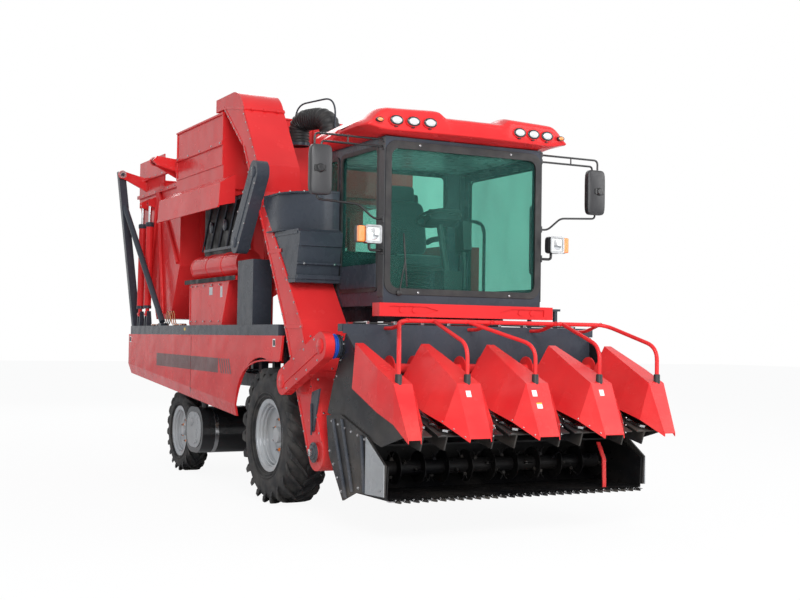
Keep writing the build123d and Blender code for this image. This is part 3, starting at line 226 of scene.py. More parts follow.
def cloth(name, colour):
    """Woven seat cloth with a soft sheen."""
    t = Tree(name)
    weave = t.noise(900, 2, (1, 1, 3))
    base = t.mix(weave, colour, [2.2 * c for c in colour[:3]] + [1])
    t.surface(Base_Color=base, Roughness=0.9, Sheen_Weight=0.3, Normal=t.bump(weave, 0.0006))
    return t.material


def glow(name, colour, rough=0.15, share=0.25):
    """Coloured or clear lens plastic over a bright reflector, with a faint emission glow; on parts that are no lamp,
    such as wheel nuts, this glow is painted light.
    """
    t = Tree(name)
    ribs = t.add("ShaderNodeTexWave")
    ribs.inputs["Scale"].default_value = 55
    t.join(t.position, ribs.inputs["Vector"])
    base = t.mix(ribs.outputs["Fac"], colour, [0.8 * c for c in colour[:3]] + [1])
    t.surface(Base_Color=base, Roughness=rough, Specular_IOR_Level=0.8, Coat_Weight=1.0,
              Emission_Color=colour, Emission_Strength=share, Normal=t.bump(ribs.outputs["Fac"], 0.0008))
    return t.material


M = {
    "red": paint("red_enamel", (0.74, 0.032, 0.034, 1), (0.64, 0.024, 0.027, 1), coat=0.08),
    "dark": paint("blue_grey_enamel", (0.046, 0.054, 0.07, 1), (0.036, 0.043, 0.055, 1), 0.36, 0.1, waves=0.004),
    "black": paint("black_enamel", (0.012, 0.012, 0.014, 1), (0.02, 0.02, 0.022, 1), 0.42, 0.08, 0.25, 0.003),
    # Near-black copy of the black enamel: painted shade for the trough, the rotor and other shaded hollows, darker
    # than their own black paint.
    "shade_black": paint("shaded_black_enamel", (0.004, 0.004, 0.005, 1), (0.007, 0.007, 0.008, 1), 0.55, 0.0, 0.05, 0.003),
    "blue": plastic("blue_plastic", (0.015, 0.075, 0.42, 1)),
    "band": paint("grey_brown_band", (0.17, 0.075, 0.075, 1), (0.14, 0.062, 0.062, 1), 0.4, 0.1, 0.1),
    "grey": paint("grey_enamel", (0.34, 0.35, 0.36, 1), (0.28, 0.29, 0.3, 1), 0.4, 0.2),
    "white": paint("white_enamel", (0.82, 0.82, 0.8, 1), (0.76, 0.76, 0.74, 1), 0.35, 0.3),
    "yellow": paint("yellow_enamel", (0.85, 0.55, 0.04, 1), (0.75, 0.47, 0.03, 1), 0.35, 0.3),
    "silver": paint("silver_enamel", (0.5, 0.52, 0.54, 1), (0.42, 0.44, 0.46, 1), 0.35, 0.4, 0.5),
    "steel": bare_metal("bare_steel", (0.56, 0.56, 0.57, 1)),
    "chrome": bare_metal("chrome_plate", (0.8, 0.81, 0.83, 1), 0.12, (1, 1, 1), 0.05, 0.0001),
    "copper": bare_metal("copper_tube", (0.72, 0.33, 0.17, 1), 0.3, (1, 1, 1), 0.2),
    "ochre": plastic("ochre_pipe", (0.5, 0.22, 0.03, 1)),
    "tyre": rubber("tyre_rubber", (0.017, 0.017, 0.018, 1)),
    "hose": rubber("hose_rubber", (0.012, 0.012, 0.013, 1), 0.15, 0.5),
    "plastic": plastic("black_plastic", (0.018, 0.018, 0.02, 1)),
    "gloss": plastic("gloss_black_plastic", (0.012, 0.012, 0.013, 1), 0.2, 0.0001),
    "glass": glazing("tinted_glass", (0.7, 0.93, 0.87, 1)),
    "cloth": cloth("seat_cloth", (0.03, 0.032, 0.036, 1)),
    "lens": glow("clear_lens", (0.6, 0.62, 0.62, 1), share=0.06),
    "amber": glow("amber_lens", (0.9, 0.24, 0.02, 1), share=0.12),
    "mirror": bare_metal("mirror_glass", (0.86, 0.88, 0.9, 1), 0.05, (1, 1, 1), 0.0, 0.0),
}

NODE_LOOKS = {
    "dark": "bin_post cab_base cab_door cab_frame chassis_frame drive_covers engine_block fan_housing front_axle "
            "header_frame knuckle_left knuckle_right landing lift_ram_barrels platform rear_axle tie_rod",
    "red": "bin_ram_barrels cab_roof cooling_box cross_auger ear_bin ear_elevator elevator_hood front_bumper "
           "guard_pipes header_drive_guard husk_box husker_apron husker_hopper husking_bed inner_dividers "
           "outer_dividers rear_panel side_panels",
    "black": "snapping_decks spout spout_riser header_sides",
    # The trough and rotor take the near-black enamel that paints their shade.
    "shade_black": "stalk_trough stalk_rotor",
    "chrome": "bin_ram_rods lift_ram_rods",
    "steel": "gathering_chains",
    "glass": "cab_windows door_glass",
    "plastic": "head_lamps mirrors steering_column",
    "cloth": "driver_seat",
    "gloss": "fuel_tank",
    "silver": "rim_front_left rim_front_right rim_rear_left rim_rear_right",
    "tyre": "tyre_front_left tyre_front_right tyre_rear_left tyre_rear_right",
    "lens": "roof_lamps",
}
for look, names in NODE_LOOKS.items():
    for name in names.split():
        mesh = nodes[name].data
        mesh.materials.clear()
        mesh.materials.append(M[look])


def at(x, back, z):
    """Give a place in the row frame."""
    return Vector((x, AXLE_Y + back, z))


def near(middle, half):
    """Give the low and the high place about a middle."""
    return middle - half, middle + half


def across(side, inner, outer):
    """Give the low and the high place across for two distances out on one side."""
    return sorted((side * inner, side * outer))


def piece(name, form, look, body="chassis", bevel=0.0, sharp=35, replaces=()):
    """Turn a bmesh into a piece that rides on a body, with soft edges where a bevel is given."""
    bmesh.ops.recalc_face_normals(form, faces=form.faces)
    mesh = bpy.data.meshes.new(name)
    form.to_mesh(mesh)
    form.free()
    mesh.materials.append(M[look])
    mesh.polygons.foreach_set("use_smooth", [True] * len(mesh.polygons))
    made = bpy.data.objects.new(name, mesh)
    bpy.context.scene.collection.objects.link(made)
    if bevel:
        edges = made.modifiers.new("soft_edges", "BEVEL")
        edges.width = bevel
        edges.segments = 2
        edges.limit_method = "ANGLE"
        edges.angle_limit = math.radians(35)
        edges.harden_normals = True
    else:
        mesh.set_sharp_from_angle(angle=math.radians(sharp))
    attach(made, body)
    if replaces:
        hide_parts(*replaces)
    return made


def loop_between(form, first, second):
    """Add the faces between two closed rings of vertices."""
    count = len(first)
    for i in range(count):
        form.faces.new((first[i], first[(i + 1) % count], second[(i + 1) % count], second[i]))


def skin(form, rings):
    """Join rings of vertices in a row and close both ends."""
    for one, two in zip(rings, rings[1:]):
        loop_between(form, one, two)
    form.faces.new(rings[0])
    form.faces.new(rings[-1])


def slab(form, *outlines):
    """Add a closed form between outlines that have as many points."""
    skin(form, [[form.verts.new(p) for p in outline] for outline in outlines])


def outline_corners(form, outline, along, axis):
    """Add the corners of an outline that lies across an axis, at a place along it."""
    where = "xyz".index(axis)
    return [form.verts.new(at(*pair[:where], along, *pair[where:])) for pair in outline]


def prism(form, outline, low, high, axis="x"):
    """Add a plate: an outline of (back, z), (x, z) or (x, back) pairs, between two places along the axis."""
    skin(form, [outline_corners(form, outline, along, axis) for along in (low, high)])


def brick(form, x, back, z):
    """Add a block from three (low, high) pairs."""
    prism(form, [(x[0], z[0]), (x[1], z[0]), (x[1], z[1]), (x[0], z[1])], back[0], back[1], "y")


def build(name, look, *shapes, **how):
    """Make a piece of shapes, each given as a helper and its values."""
    form = bmesh.new()
    for shape, *values in shapes:
        shape(form, *values)
    return piece(name, form, look, **how)


def frame_of(way):
    """Give two directions square to a way."""
    side = Vector((0, 0, 1)) if abs(way.z) < 0.9 else Vector((1, 0, 0))
    first = way.cross(side).normalized()
    return first, way.cross(first).normalized()


def tube(form, route, radius, sides=12, wave=None):
    """Add a round bar or pipe along points, with closed ends; wave changes the radius along it."""
    ways = []
    for i in range(len(route)):
        before = route[i] - route[i - 1] if i else route[1] - route[0]
        after = route[i + 1] - route[i] if i + 1 < len(route) else before
        ways.append((before.normalized() + after.normalized()).normalized())
    first, second = frame_of(ways[0])
    rings = []
    for i, place in enumerate(route):
        first = (first - ways[i] * first.dot(ways[i])).normalized()
        second = ways[i].cross(first)
        r = radius * (wave(i) if wave else 1)
        rings.append([form.verts.new(place + r * (math.cos(a) * first + math.sin(a) * second))
                      for a in (2 * math.pi * k / sides for k in range(sides))])
    skin(form, rings)


def rounded(route, bend, steps=6):
    """Give points along a route with its corners rounded by arcs that start bend away from each."""
    points = [route[0]]
    for before, corner, after in zip(route, route[1:], route[2:]):
        reach = min(bend, (corner - before).length / 2, (after - corner).length / 2)
        start = corner + (before - corner).normalized() * reach
        end = corner + (after - corner).normalized() * reach
        for k in range(steps + 1):
            s = k / steps
            points.append((1 - s) ** 2 * start + 2 * s * (1 - s) * corner + s * s * end)
    points.append(route[-1])
    return points


def lathe(form, profile, centre, way, sides=40):
    """Add a turned form: (radius, along) pairs turned about a way through a centre; a radius of 0 closes it."""
    way = way.normalized()
    first, second = frame_of(way)
    rings = []
    for radius, along in profile:
        middle = centre + way * along
        if radius < 1e-6:
            rings.append([form.verts.new(middle)])
        else:
            rings.append([form.verts.new(middle + radius * (math.cos(a) * first + math.sin(a) * second))
                          for a in (2 * math.pi * k / sides for k in range(sides))])
    for one, two in zip(rings, rings[1:]):
        if len(one) == 1 and len(two) == 1:
            continue
        if len(one) == 1 or len(two) == 1:
            tip, rim = (one[0], two) if len(one) == 1 else (two[0], one)
            for k in range(sides):
                form.faces.new((tip, rim[k], rim[(k + 1) % sides]))
        else:
            loop_between(form, one, two)


def knob(radius, edge, top_radius, height):
    """Give the profile of a disc whose edge narrows to its top."""
    return [(0, 0), (radius, 0), (radius, edge), (top_radius, height), (0, height)]


def bolt(form, place, way, size=0.009):
    """Add a washer and a hexagon head that stand on a surface."""
    way = way.normalized()
    lathe(form, [(0, -0.001), (size * 1.25, -0.001), (size * 1.25, 0.002), (0, 0.002)], place, way, 12)
    lathe(form, [(0, 0.001), (size, 0.001), (size, size * 0.8), (size * 0.8, size), (0, size)], place, way, 6)


def bolts(name, places, way, body="chassis", look="steel", size=0.009):
    """Make a piece of bolts that stand at places on a surface."""
    return build(name, look, *((bolt, place, way, size) for place in places), body=body)


def spread(first, last, count):
    """Give evenly spaced points between two."""
    return [first.lerp(last, k / (count - 1)) for k in range(count)]


RIGHT, LEFT, AHEAD, BEHIND, UP = (Vector(v) for v in ((-1, 0, 0), (1, 0, 0), (0, -1, 0), (0, 1, 0), (0, 0, 1)))
SIDES = ((-1, "right"), (1, "left"))


# Tyres: a rounded carcass with two rows of slanting lugs that run over the shoulders.
def make_tyre(name, side, x, back, outer_d, width, rim_d, lug_h, lug_count):
    """Make one tyre for a wheel and put it in place of its plain solid."""
    centre = at(side * x, back, outer_d / 2)
    half, rim_r, top_r = width / 2, rim_d / 2, outer_d / 2 - lug_h
    flange_r = rim_r + 0.029
    form = bmesh.new()
    section = [
        # share of half the width, radius
        (-0.74, rim_r + 0.004), (-0.78, flange_r), (-0.9, flange_r + 0.03), (-0.985, rim_r + 0.38 * (top_r - rim_r)),
        (-0.99, rim_r + 0.55 * (top_r - rim_r)), (-0.95, rim_r + 0.78 * (top_r - rim_r)), (-0.86, top_r - 0.022),
        (-0.7, top_r - 0.004), (-0.35, top_r + 0.003), (0.0, top_r + 0.006),
    ]
    section = section + [(-share, radius) for share, radius in reversed(section[:-1])]
    lathe(form, [(radius, share * half) for share, radius in section], centre, LEFT, 96)
    # Two raised rings on each side wall.
    for wall in (-1, 1):
        for share, radius in ((0.925, flange_r + 0.022), (0.975, rim_r + 0.3 * (top_r - rim_r))):
            lathe(form, [(radius - 0.006, wall * share * half), (radius - 0.003, wall * (share * half + 0.004)),
                         (radius + 0.003, wall * (share * half + 0.004)), (radius + 0.008, wall * share * half)],
                  centre, LEFT, 96)
    steps = 9
    bend_at, past_bend = 0.72, 0.28  # shares of a lug across the tread and over the shoulder
    turn = 2 * math.pi / lug_count
    for row in (-1, 1):
        for number in range(lug_count):
            start = turn * (number + (0.5 if row > 0 else 0))
            rings = []
            for step in range(steps + 1):
                s = step / steps
                # The lug starts past the middle, slants across and turns down over the shoulder.
                share = -0.06 + 1.06 * min(s / bend_at, 1.0)
                if s <= bend_at:
                    over = max(0.0, share - 0.8) / 0.2
                    top = outer_d / 2 - 0.3 * lug_h * over * over
                    low = top_r - 0.02
                    reach = row * half * min(share, 0.99)
                else:
                    drop = (s - bend_at) / past_bend
                    top = outer_d / 2 - lug_h * (0.3 + 0.9 * drop) - 0.045 * drop
                    low = top - 0.03
                    reach = row * half * (0.99 + 0.012 * math.sin(math.pi * drop) - 0.004 * drop)
                angle = start + turn * 1.3 * min(s / bend_at, 1.0) ** 0.9 + turn * 0.22 * max(0.0,
                    (s - bend_at) / past_bend)
                broad = 0.17 * turn * (1.0 + 0.55 * s)
                cut = []
                for way_off, radius in ((-1.25, low), (-0.85, top), (0.85, top), (1.25, low)):
                    a = angle + way_off * broad * 0.62
                    inset = 0.0 if s <= bend_at or radius == top else -row * 0.012
                    cut.append(form.verts.new(centre + Vector((
                        reach + inset, -math.cos(a) * radius, math.sin(a) * radius))))
                rings.append(cut)
            skin(form, rings)
    return piece(f"tyre_{name}_tread", form, "tyre", f"{name}_wheel", sharp=42, replaces=[f"tyre_{name}"])


def make_wheel_trim(name, side, x, back, axle_z, disc_r, disc_out, count, cap_r, cap_out, rim_r, rim_out):
    """Make the ring of wheel nuts and studs, the rim's rings and the hub cap on a rim's outer face."""
    centre = at(side * x, back, axle_z)
    way = Vector((side, 0, 0))
    nuts = bmesh.new()
    sleeves = bmesh.new()
    for k in range(count):
        a = 2 * math.pi * (k + 0.5) / count
        place = centre + way * disc_out + Vector((0, math.cos(a) * disc_r, math.sin(a) * disc_r))
        lathe(nuts, [(0, 0.0), (0.019, 0.0), (0.019, 0.004), (0.014, 0.005), (0.014, 0.02),
            (0, 0.022)], place, way, 6)
        lathe(sleeves, [(0, 0.018), (0.009, 0.018), (0.009, 0.04), (0.006, 0.043), (0, 0.043)], place, way, 10)
    # The amber lens material's emission gives these nuts a painted glow, though they are no lamp.
    piece(f"wheel_nuts_{name}", nuts, "amber", f"{name}_wheel")
    piece(f"wheel_studs_{name}", sleeves, "steel", f"{name}_wheel")
    build(f"rim_rings_{name}", "silver",
        *((lathe, [(r - 0.006, -0.01), (r - 0.006, 0.004), (r, 0.008), (r + 0.007, 0.004), (r + 0.007, -0.01)],
            centre + way * out, way, 56) for r, out in ((rim_r - 0.014, rim_out - 0.012),
            (rim_r - 0.03, rim_out - 0.04), (rim_r - 0.046, rim_out - 0.066))),
        body=f"{name}_wheel", sharp=50)
    build(f"hub_cap_{name}", "silver",
        (lathe, [(cap_r, 0.0), (cap_r, 0.02), (cap_r * 0.9, 0.034), (cap_r * 0.45, 0.042), (0, 0.043)], centre
            + way * cap_out, way, 32),
        body=f"{name}_wheel")


for side, hand in SIDES:
    make_tyre(f"front_{hand}", side, 1.01, 0.0, 1.23, 0.38, 0.61, 0.034, 22)
    make_tyre(f"rear_{hand}", side, 0.965, 2.93, 0.89, 0.23, 0.508, 0.024, 20)
    make_wheel_trim(f"front_{hand}", side, 1.01, 0.0, 0.615, 0.15, 0.0228, 8, 0.075, 0.057, 0.305, 0.156)
    make_wheel_trim(f"rear_{hand}", side, 0.965, 2.93, 0.445, 0.115, 0.0138, 6, 0.055, 0.0345, 0.254, 0.098)


def rounded_outline(x0, x1, z0, z1, r, steps=6):
    """Give the corners of a rectangle with round corners, in order."""
    points = []
    for cx, cz, start in ((x1 - r, z1 - r, 0), (x0 + r, z1 - r, 90), (x0 + r, z0 + r, 180), (x1 - r, z0 + r, 270)):
        for k in range(steps + 1):
            a = math.radians(start + 90 * k / steps)
            points.append((cx + r * math.cos(a), cz + r * math.sin(a)))
    return points


def ring(form, outer, inner, low, high, axis="y"):
    """Add a flat ring between two outlines that have as many corners."""
    loops = [outline_corners(form, outline, along, axis)
             for outline, along in ((outer, low), (outer, high), (inner, high), (inner, low))]
    for one, two in zip(loops, loops[1:] + loops[:1]):
        loop_between(form, one, two)


def pad(name, low, high, lean=0.0, look="cloth", channels=0):
    """Make a crowned cushion between two corners, with sewn channels across it if asked; lean tips its top back."""
    form = bmesh.new()
    cells = 14
    bmesh.ops.create_cube(form, size=2)
    bmesh.ops.subdivide_edges(form, edges=form.edges, cuts=cells, use_grid_fill=True)
    half = (high - low) / 2
    middle = (high + low) / 2
    for vert in form.verts:
        x, y, z = vert.co
        power = 6
        norm = (abs(x) ** power + abs(y) ** power + abs(z) ** power) ** (1 / power)
        x, y, z = x / norm, y / norm, z / norm
        thin = min(range(3), key=lambda i: half[i])
        crown = [1.0, 1.0, 1.0]
        wide = [c for i, c in enumerate((x, y, z)) if i != thin]
        crown[thin] = 0.82 + 0.18 * (1 - wide[0] ** 2) * (1 - wide[1] ** 2)
        place = Vector((x * half.x * crown[0], y * half.y * crown[1], z * half.z * crown[2]))
        if channels:
            along = z if thin != 2 else y
            groove = math.exp(-(((along * channels / 2) % 1.0 - 0.5) / 0.07) ** 2)
            place[thin] *= 1 - 0.1 * groove
        place.y += lean * (place.z + half.z)
        vert.co = middle + place
    made = piece(name, form, look, sharp=80)
    return made


# Cab: seals, wiper, seat, console and levers.
def make_cab():
    """Make what is seen of the cab beside its frame: seals, wiper, seat, armrests, console and levers."""
    front, back = -1.47, -0.08
    build("windscreen_seal", "hose",
        (ring, rounded_outline(-0.768, 0.768, 1.872, 3.15, 0.1), rounded_outline(-0.712, 0.712, 1.926, 3.084, 0.07),
            front - 0.008, front + 0.012),
        bevel=0.003)
    for place, low, high in (("front", front + 0.095, back - 0.545), ("rear", back - 0.515, back - 0.075)):
        build(f"right_{place}_seal", "hose",
            (ring, rounded_outline(low, high, 1.895, 3.115, 0.06),
                rounded_outline(low + 0.035, high - 0.035, 1.93, 3.08, 0.04), -0.783, -0.768, "x"),
            bevel=0.002)
    build("rear_window_seal", "hose",
        (ring, rounded_outline(-0.615, 0.615, 2.285, 3.115, 0.06), rounded_outline(-0.58, 0.58, 2.32, 3.08, 0.04),
            back - 0.005, back + 0.008),
        bevel=0.002)
    # A dark plate in the lower part of the right front pane, as the photograph shows.
    build("lower_side_plate", "dark", (brick, (-0.79, -0.772), (-1.35, -0.66), (1.93, 2.13)), bevel=0.004)
    build("wiper", "hose",
        (tube, [at(-0.562, -1.487, 1.94), at(-0.58, -1.487, 2.15), at(-0.598, -1.487, 2.38)], 0.007, 8),
        (tube, [at(-0.634, -1.492, 1.885), at(-0.612, -1.494, 2.02), at(-0.58, -1.491, 2.16)], 0.006, 8),
        (lathe, [(0, -0.02), (0.024, -0.02), (0.024, 0.012), (0.012, 0.02), (0, 0.02)],
            at(-0.634, -1.48, 1.885), AHEAD, 20))
    for side, hand in SIDES:
        build(f"pillar_cover_{hand}", "plastic",
            (prism, [(front - 0.004, 1.85), (front + 0.1, 1.85), (front + 0.1, 3.17), (front - 0.004, 3.17)],
                *across(side, 0.7705, 0.781)),
            bevel=0.003)
    screws = [at(x, front - 0.008, z) for x in (-0.45, 0.45) for z in (1.892, 3.122)]
    bolts("windscreen_screws", screws, AHEAD, size=0.008)

    build("seat_back_shell", "plastic",
        (prism, [(-0.335, 2.3), (-0.28, 2.3), (-0.185, 2.86), (-0.24, 2.88)], -0.215, 0.215),
        bevel=0.02, replaces=["driver_seat"])
    pad("seat_cushion", at(-0.25, -0.76, 2.15), at(0.25, -0.29, 2.28), channels=4)
    pad("seat_backrest", at(-0.235, -0.42, 2.29), at(0.235, -0.31, 2.8), lean=0.17, channels=5)
    pad("seat_headrest", at(-0.13, -0.335, 2.79), at(0.13, -0.255, 2.94), lean=0.1)
    stand = bmesh.new()
    for k in range(6):
        z = 1.86 + k * 0.045
        lathe(stand, [(0, 0), (0.155, 0), (0.185, 0.022), (0.155, 0.045), (0, 0.045)], at(0, -0.51, z), UP, 28)
    brick(stand, (-0.22, 0.22), (-0.7, -0.31), (2.125, 2.16))
    brick(stand, (-0.2, 0.2), (-0.68, -0.33), (1.841, 1.87))
    piece("seat_suspension", stand, "hose", sharp=50)
    build("seat_armrests", "plastic",
        *((tube, rounded([at(side * 0.265, -0.33, 2.42), at(side * 0.265, -0.42, 2.44),
            at(side * 0.265, -0.66, 2.44)], 0.04), 0.026, 12) for side in (-1, 1)))
    build("cab_console", "plastic",
        (prism, [(-1.17, 2.3), (-1.02, 2.26), (-1.0, 2.5), (-1.14, 2.56)], 0.17, 0.255),
        (tube, [at(0.21, -1.1, 1.845), at(0.21, -1.12, 2.1), at(0.21, -1.09, 2.32)], 0.018, 10),
        bevel=0.008)
    build("dash_cluster", "plastic",
        (prism, [(-1.13, 2.56), (-1.02, 2.5), (-1.0, 2.57), (-1.1, 2.65)], -0.15, 0.15),
        bevel=0.012)
    levers = bmesh.new()
    for x, lean in ((-0.34, 0.02), (-0.4, -0.02), (-0.46, 0.03)):
        tube(levers, [at(x, -0.86, 2.22), at(x, -0.86 - lean, 2.44)], 0.007, 8)
        lathe(levers, [(0, 0.03), (0.017, 0.02), (0.019, 0.0), (0.013, -0.02), (0, -0.022)],
            at(x, -0.86 - lean, 2.455), UP, 16)
    brick(levers, (-0.5, -0.3), (-0.98, -0.45), (1.841, 2.22))
    piece("lever_box", levers, "plastic", bevel=0.006)
    build("roof_lining", "grey", (brick, (-0.72, 0.72), (-1.41, -0.14), (3.115, 3.144)), bevel=0.01)


make_cab()


def lamp(form_lens, form_shell, centre, wide, tall, way=AHEAD, depth=0.03):
    """Add a shallow domed lens and its bezel, facing a way."""
    first, second = Vector((1, 0, 0)), Vector((0, 0, 1))
    count = 28

    def oval(share, along):
        return [centre + way * along + first * wide * share * math.cos(a) + second * tall * share * math.sin(a)
                for a in (2 * math.pi * k / count for k in range(count))]

    for form, rows in ((form_lens, ((1.0, 0.0), (0.96, depth * 0.5), (0.7, depth * 0.85), (0.35, depth))),
                       (form_shell, ((1.02, -0.02), (1.14, -0.01), (1.14, depth * 0.5), (1.02, depth * 0.7)))):
        slab(form, *(oval(share, along) for share, along in rows))


LAMP_XS, LAMP_Z = (0.44, 0.59, 0.74), 3.292


def pod_front(x):
    """Give the place of a roof pod's slanting front, behind the axle."""
    return -1.62 + 0.03 + (x - 0.33) * 0.06 / 0.67


def make_lamps():
    """Make the roof's work lamps, and the head lamps with their indicators."""
    lens, bezel = bmesh.new(), bmesh.new()
    for side in (-1, 1):
        for x in LAMP_XS:
            back = pod_front(x) - 0.038
            lamp(lens, bezel, at(side * x, back, LAMP_Z), 0.055, 0.036)
            brick(bezel, near(side * x, 0.012), (back - 0.012, back + 0.02), (3.238, 3.262))
    piece("work_lamp_lenses", lens, "lens", sharp=60)
    piece("work_lamp_bezels", bezel, "gloss", sharp=60)
    for side, hand in SIDES:
        lens, bezel, amber = bmesh.new(), bmesh.new(), bmesh.new()
        x0, x1 = across(side, 0.842, 0.963)
        brick(lens, (x0, x1), (-1.54, -1.528), (2.295, 2.415))
        ring(bezel, rounded_outline(x0 - 0.012, x1 + 0.012, 2.28, 2.43, 0.02),
            rounded_outline(x0, x1, 2.295, 2.415, 0.015), -1.548, -1.526)
        lathe(bezel, [(0, 0), (0.046, 0.0), (0.038, 0.005), (0.012, 0.003), (0, 0.008)],
            at((x0 + x1) / 2, -1.54, 2.355), AHEAD, 28)
        x0, x1 = across(side, 0.975, 1.035)
        brick(amber, (x0, x1), (-1.535, -1.49), (2.288, 2.422))
        piece(f"head_lamp_lens_{hand}", lens, "lens", bevel=0.006)
        piece(f"head_lamp_bezel_{hand}", bezel, "chrome", sharp=50)
        piece(f"indicator_{hand}", amber, "amber", bevel=0.01)


make_lamps()


# Header: pipe sleeves, blank plates, knife, flails, skirt plates and lines.
SNOUT_TOP, SNOUT_LOW = at(0, -2.58, 1.18), at(0, -2.76, 0.79)
SNOUT_OUT = Vector((0, -0.908, 0.419))


def snout_plate(form, x, share, half_w, half_h, lift=0.0015):
    """Add a thin plate on a divider's front face, at a share of the way down it."""
    slope = SNOUT_LOW - SNOUT_TOP
    middle = SNOUT_TOP + slope * share + Vector((x, 0, 0))
    down = slope.normalized()
    corners = [middle + Vector((sx * half_w, 0, 0)) + down * (sz * half_h)
               for sx, sz in ((-1, -1), (1, -1), (1, 1), (-1, 1))]
    slab(form, [p - SNOUT_OUT * 0.001 for p in corners], [p + SNOUT_OUT * lift for p in corners])


def make_header():
    """Dress the header: everything but its guard pipes."""
    outer_x = 1.19
    dividers = (-outer_x, -0.61, 0.0, 0.61, outer_x)
    build("pipe_sleeves", "hose",
        *((lathe, [(0, 0), (0.027, 0), (0.03, 0.01), (0.026, 0.02), (0.026, 0.078), (0.022, 0.085), (0, 0.085)],
            at(x, -2.555, 1.165), UP, 20) for x in dividers),
        body="header")
    white, yellow = bmesh.new(), bmesh.new()
    for x in (-0.632, -0.045, 0.59):
        snout_plate(white, x, 0.19, 0.021, 0.025)
    snout_plate(white, -0.025, 0.43, 0.024, 0.022)
    snout_plate(yellow, -0.025, 0.385, 0.0235, 0.006, 0.002)
    piece("blank_plates", white, "white", "header")
    piece("yellow_bands", yellow, "yellow", "header")
    rivets = []
    for x in (-0.61, 0.0, 0.61):
        for side in (-1, 1):
            rivets += spread(at(x + side * 0.235, -2.6, 0.905), at(x + side * 0.12, -2.74, 0.8), 3)
    bolts("divider_rivets", rivets, SNOUT_OUT, "header", size=0.004)

    # Knife bar along the trough's lip: guards with pointed fingers, and serrated blades between them.
    knife, fingers = bmesh.new(), bmesh.new()
    brick(knife, (-1.165, 1.165), (-2.405, -2.345), (0.3, 0.309))
    pitch = 0.0762
    count = 30
    for k in range(count):
        x = (k - (count - 1) / 2) * pitch
        tip = [(x - 0.02, -2.4), (x + 0.02, -2.4), (x + 0.005, -2.462), (x - 0.005, -2.462)]
        prism(fingers, tip, 0.296, 0.312, "z")
        prism(knife, [(x + 0.021, -2.398), (x + 0.055, -2.398), (x + 0.041, -2.444),
            (x + 0.035, -2.444)], 0.3095, 0.313, "z")
        bolt(knife, at(x, -2.375, 0.309), UP, 0.008)
    piece("knife_guards", fingers, "black", "header", bevel=0.002)
    piece("knife_bar", knife, "steel", "header")
    build("trough_red_strip", "red",
        (prism, [(-2.345, 0.325), (-2.335, 0.325), (-2.325, 0.55), (-2.245, 0.686), (-2.258, 0.686),
            (-2.338, 0.555)], 0.815, 0.85),
        body="header", bevel=0.002)

    # Flails on the rotor: pairs of bent blades on lugs, in a spiral.
    flails, lugs = bmesh.new(), bmesh.new()
    rotor = at(0, -1.88, 0.495)
    for k in range(24):
        x = -1.08 + 2.16 * k / 23
        for turn in (0, math.pi):
            a = turn + k * 0.83
            out = Vector((0, math.cos(a), math.sin(a)))
            along = Vector((0, -math.sin(a), math.cos(a)))
            base = rotor + Vector((x, 0, 0)) + out * 0.058
            for side in (-1, 1):
                points = [base + Vector((side * 0.01, 0, 0)), base + Vector((side * 0.012, 0, 0)) + out * 0.045,
                          base + Vector((side * 0.032, 0, 0)) + out * 0.068]
                tube(flails, points, 0.0045, 6)
            lathe(lugs, [(0, -0.012), (0.014, -0.012), (0.014, 0.012), (0, 0.012)], base + out * 0.012, along, 10)
    # The flails take the near-black enamel that paints the shade in the trough.
    piece("rotor_flails", flails, "shade_black", "rotor")
    piece("rotor_lugs", lugs, "black", "rotor")

    # Skirt plates: ribs, a wing and rows of bolts on each side.
    for side, hand, way in ((-1, "right", RIGHT), (1, "left", LEFT)):
        face = side * 1.206
        rows = (spread(at(face, -1.42, 0.6), at(face, -1.65, 0.3), 4)
            + spread(at(face, -1.95, 0.36), at(face, -2.34, 0.38), 4)
            + spread(at(face, -1.45, 0.84), at(face, -2.05, 0.74), 6))
        bolts(f"skirt_bolts_{hand}", rows, way, "header", size=0.009)
        wall = side * 1.192
        bolts(f"side_wall_bolts_{hand}", spread(at(wall, -1.5, 1.2), at(wall, -1.62, 1.46), 3)
              + spread(at(wall, -2.2, 1.1), at(wall, -2.55, 0.86), 4), way, "header", size=0.008)
        ribs = bmesh.new()
        x0, x1 = across(side, 1.206, 1.222)
        prism(ribs, [(-1.5, 0.86), (-1.47, 0.86), (-1.72, 0.26), (-1.76, 0.26)], x0, x1)
        prism(ribs, [(-1.66, 0.87), (-1.63, 0.87), (-1.84, 0.32), (-1.87, 0.32)], x0, x1)
        prism(ribs, [(-2.02, 0.76), (-1.99, 0.77), (-2.05, 0.34), (-2.08, 0.34)], x0, x1)
        piece(f"skirt_ribs_{hand}", ribs, "dark", "header", bevel=0.003)
        build(f"skirt_wing_{hand}", "grey",
            (prism, [(-2.08, 0.76), (-2.39, 0.57), (-2.39, 0.34), (-2.08, 0.33)], *across(side, 1.207, 1.215)),
            body="header", bevel=0.002)

    # Lines and clamps along the top beam, and its front plate.
    build("top_beam_lines", "hose",
        *((tube, rounded([at(-1.1, back, 1.628), at(-0.5, back, z), at(0.2, back, z + 0.004), at(1.05, back, 1.628)],
            0.05), 0.0075, 8) for z, back in ((1.632, -1.59), (1.632, -1.612))),
        body="header")
    build("line_clamps", "steel",
        *((brick, (-1.0 + k * 0.25, -0.97 + k * 0.25), (-1.625, -1.575), (1.6195, 1.646)) for k in range(9)),
        body="header", bevel=0.003)
    build("top_beam_front", "dark",
        (brick, (-1.215, 1.215), (-1.6525, -1.6405), (1.545, 1.6195)),
        body="header", bevel=0.003)


make_header()


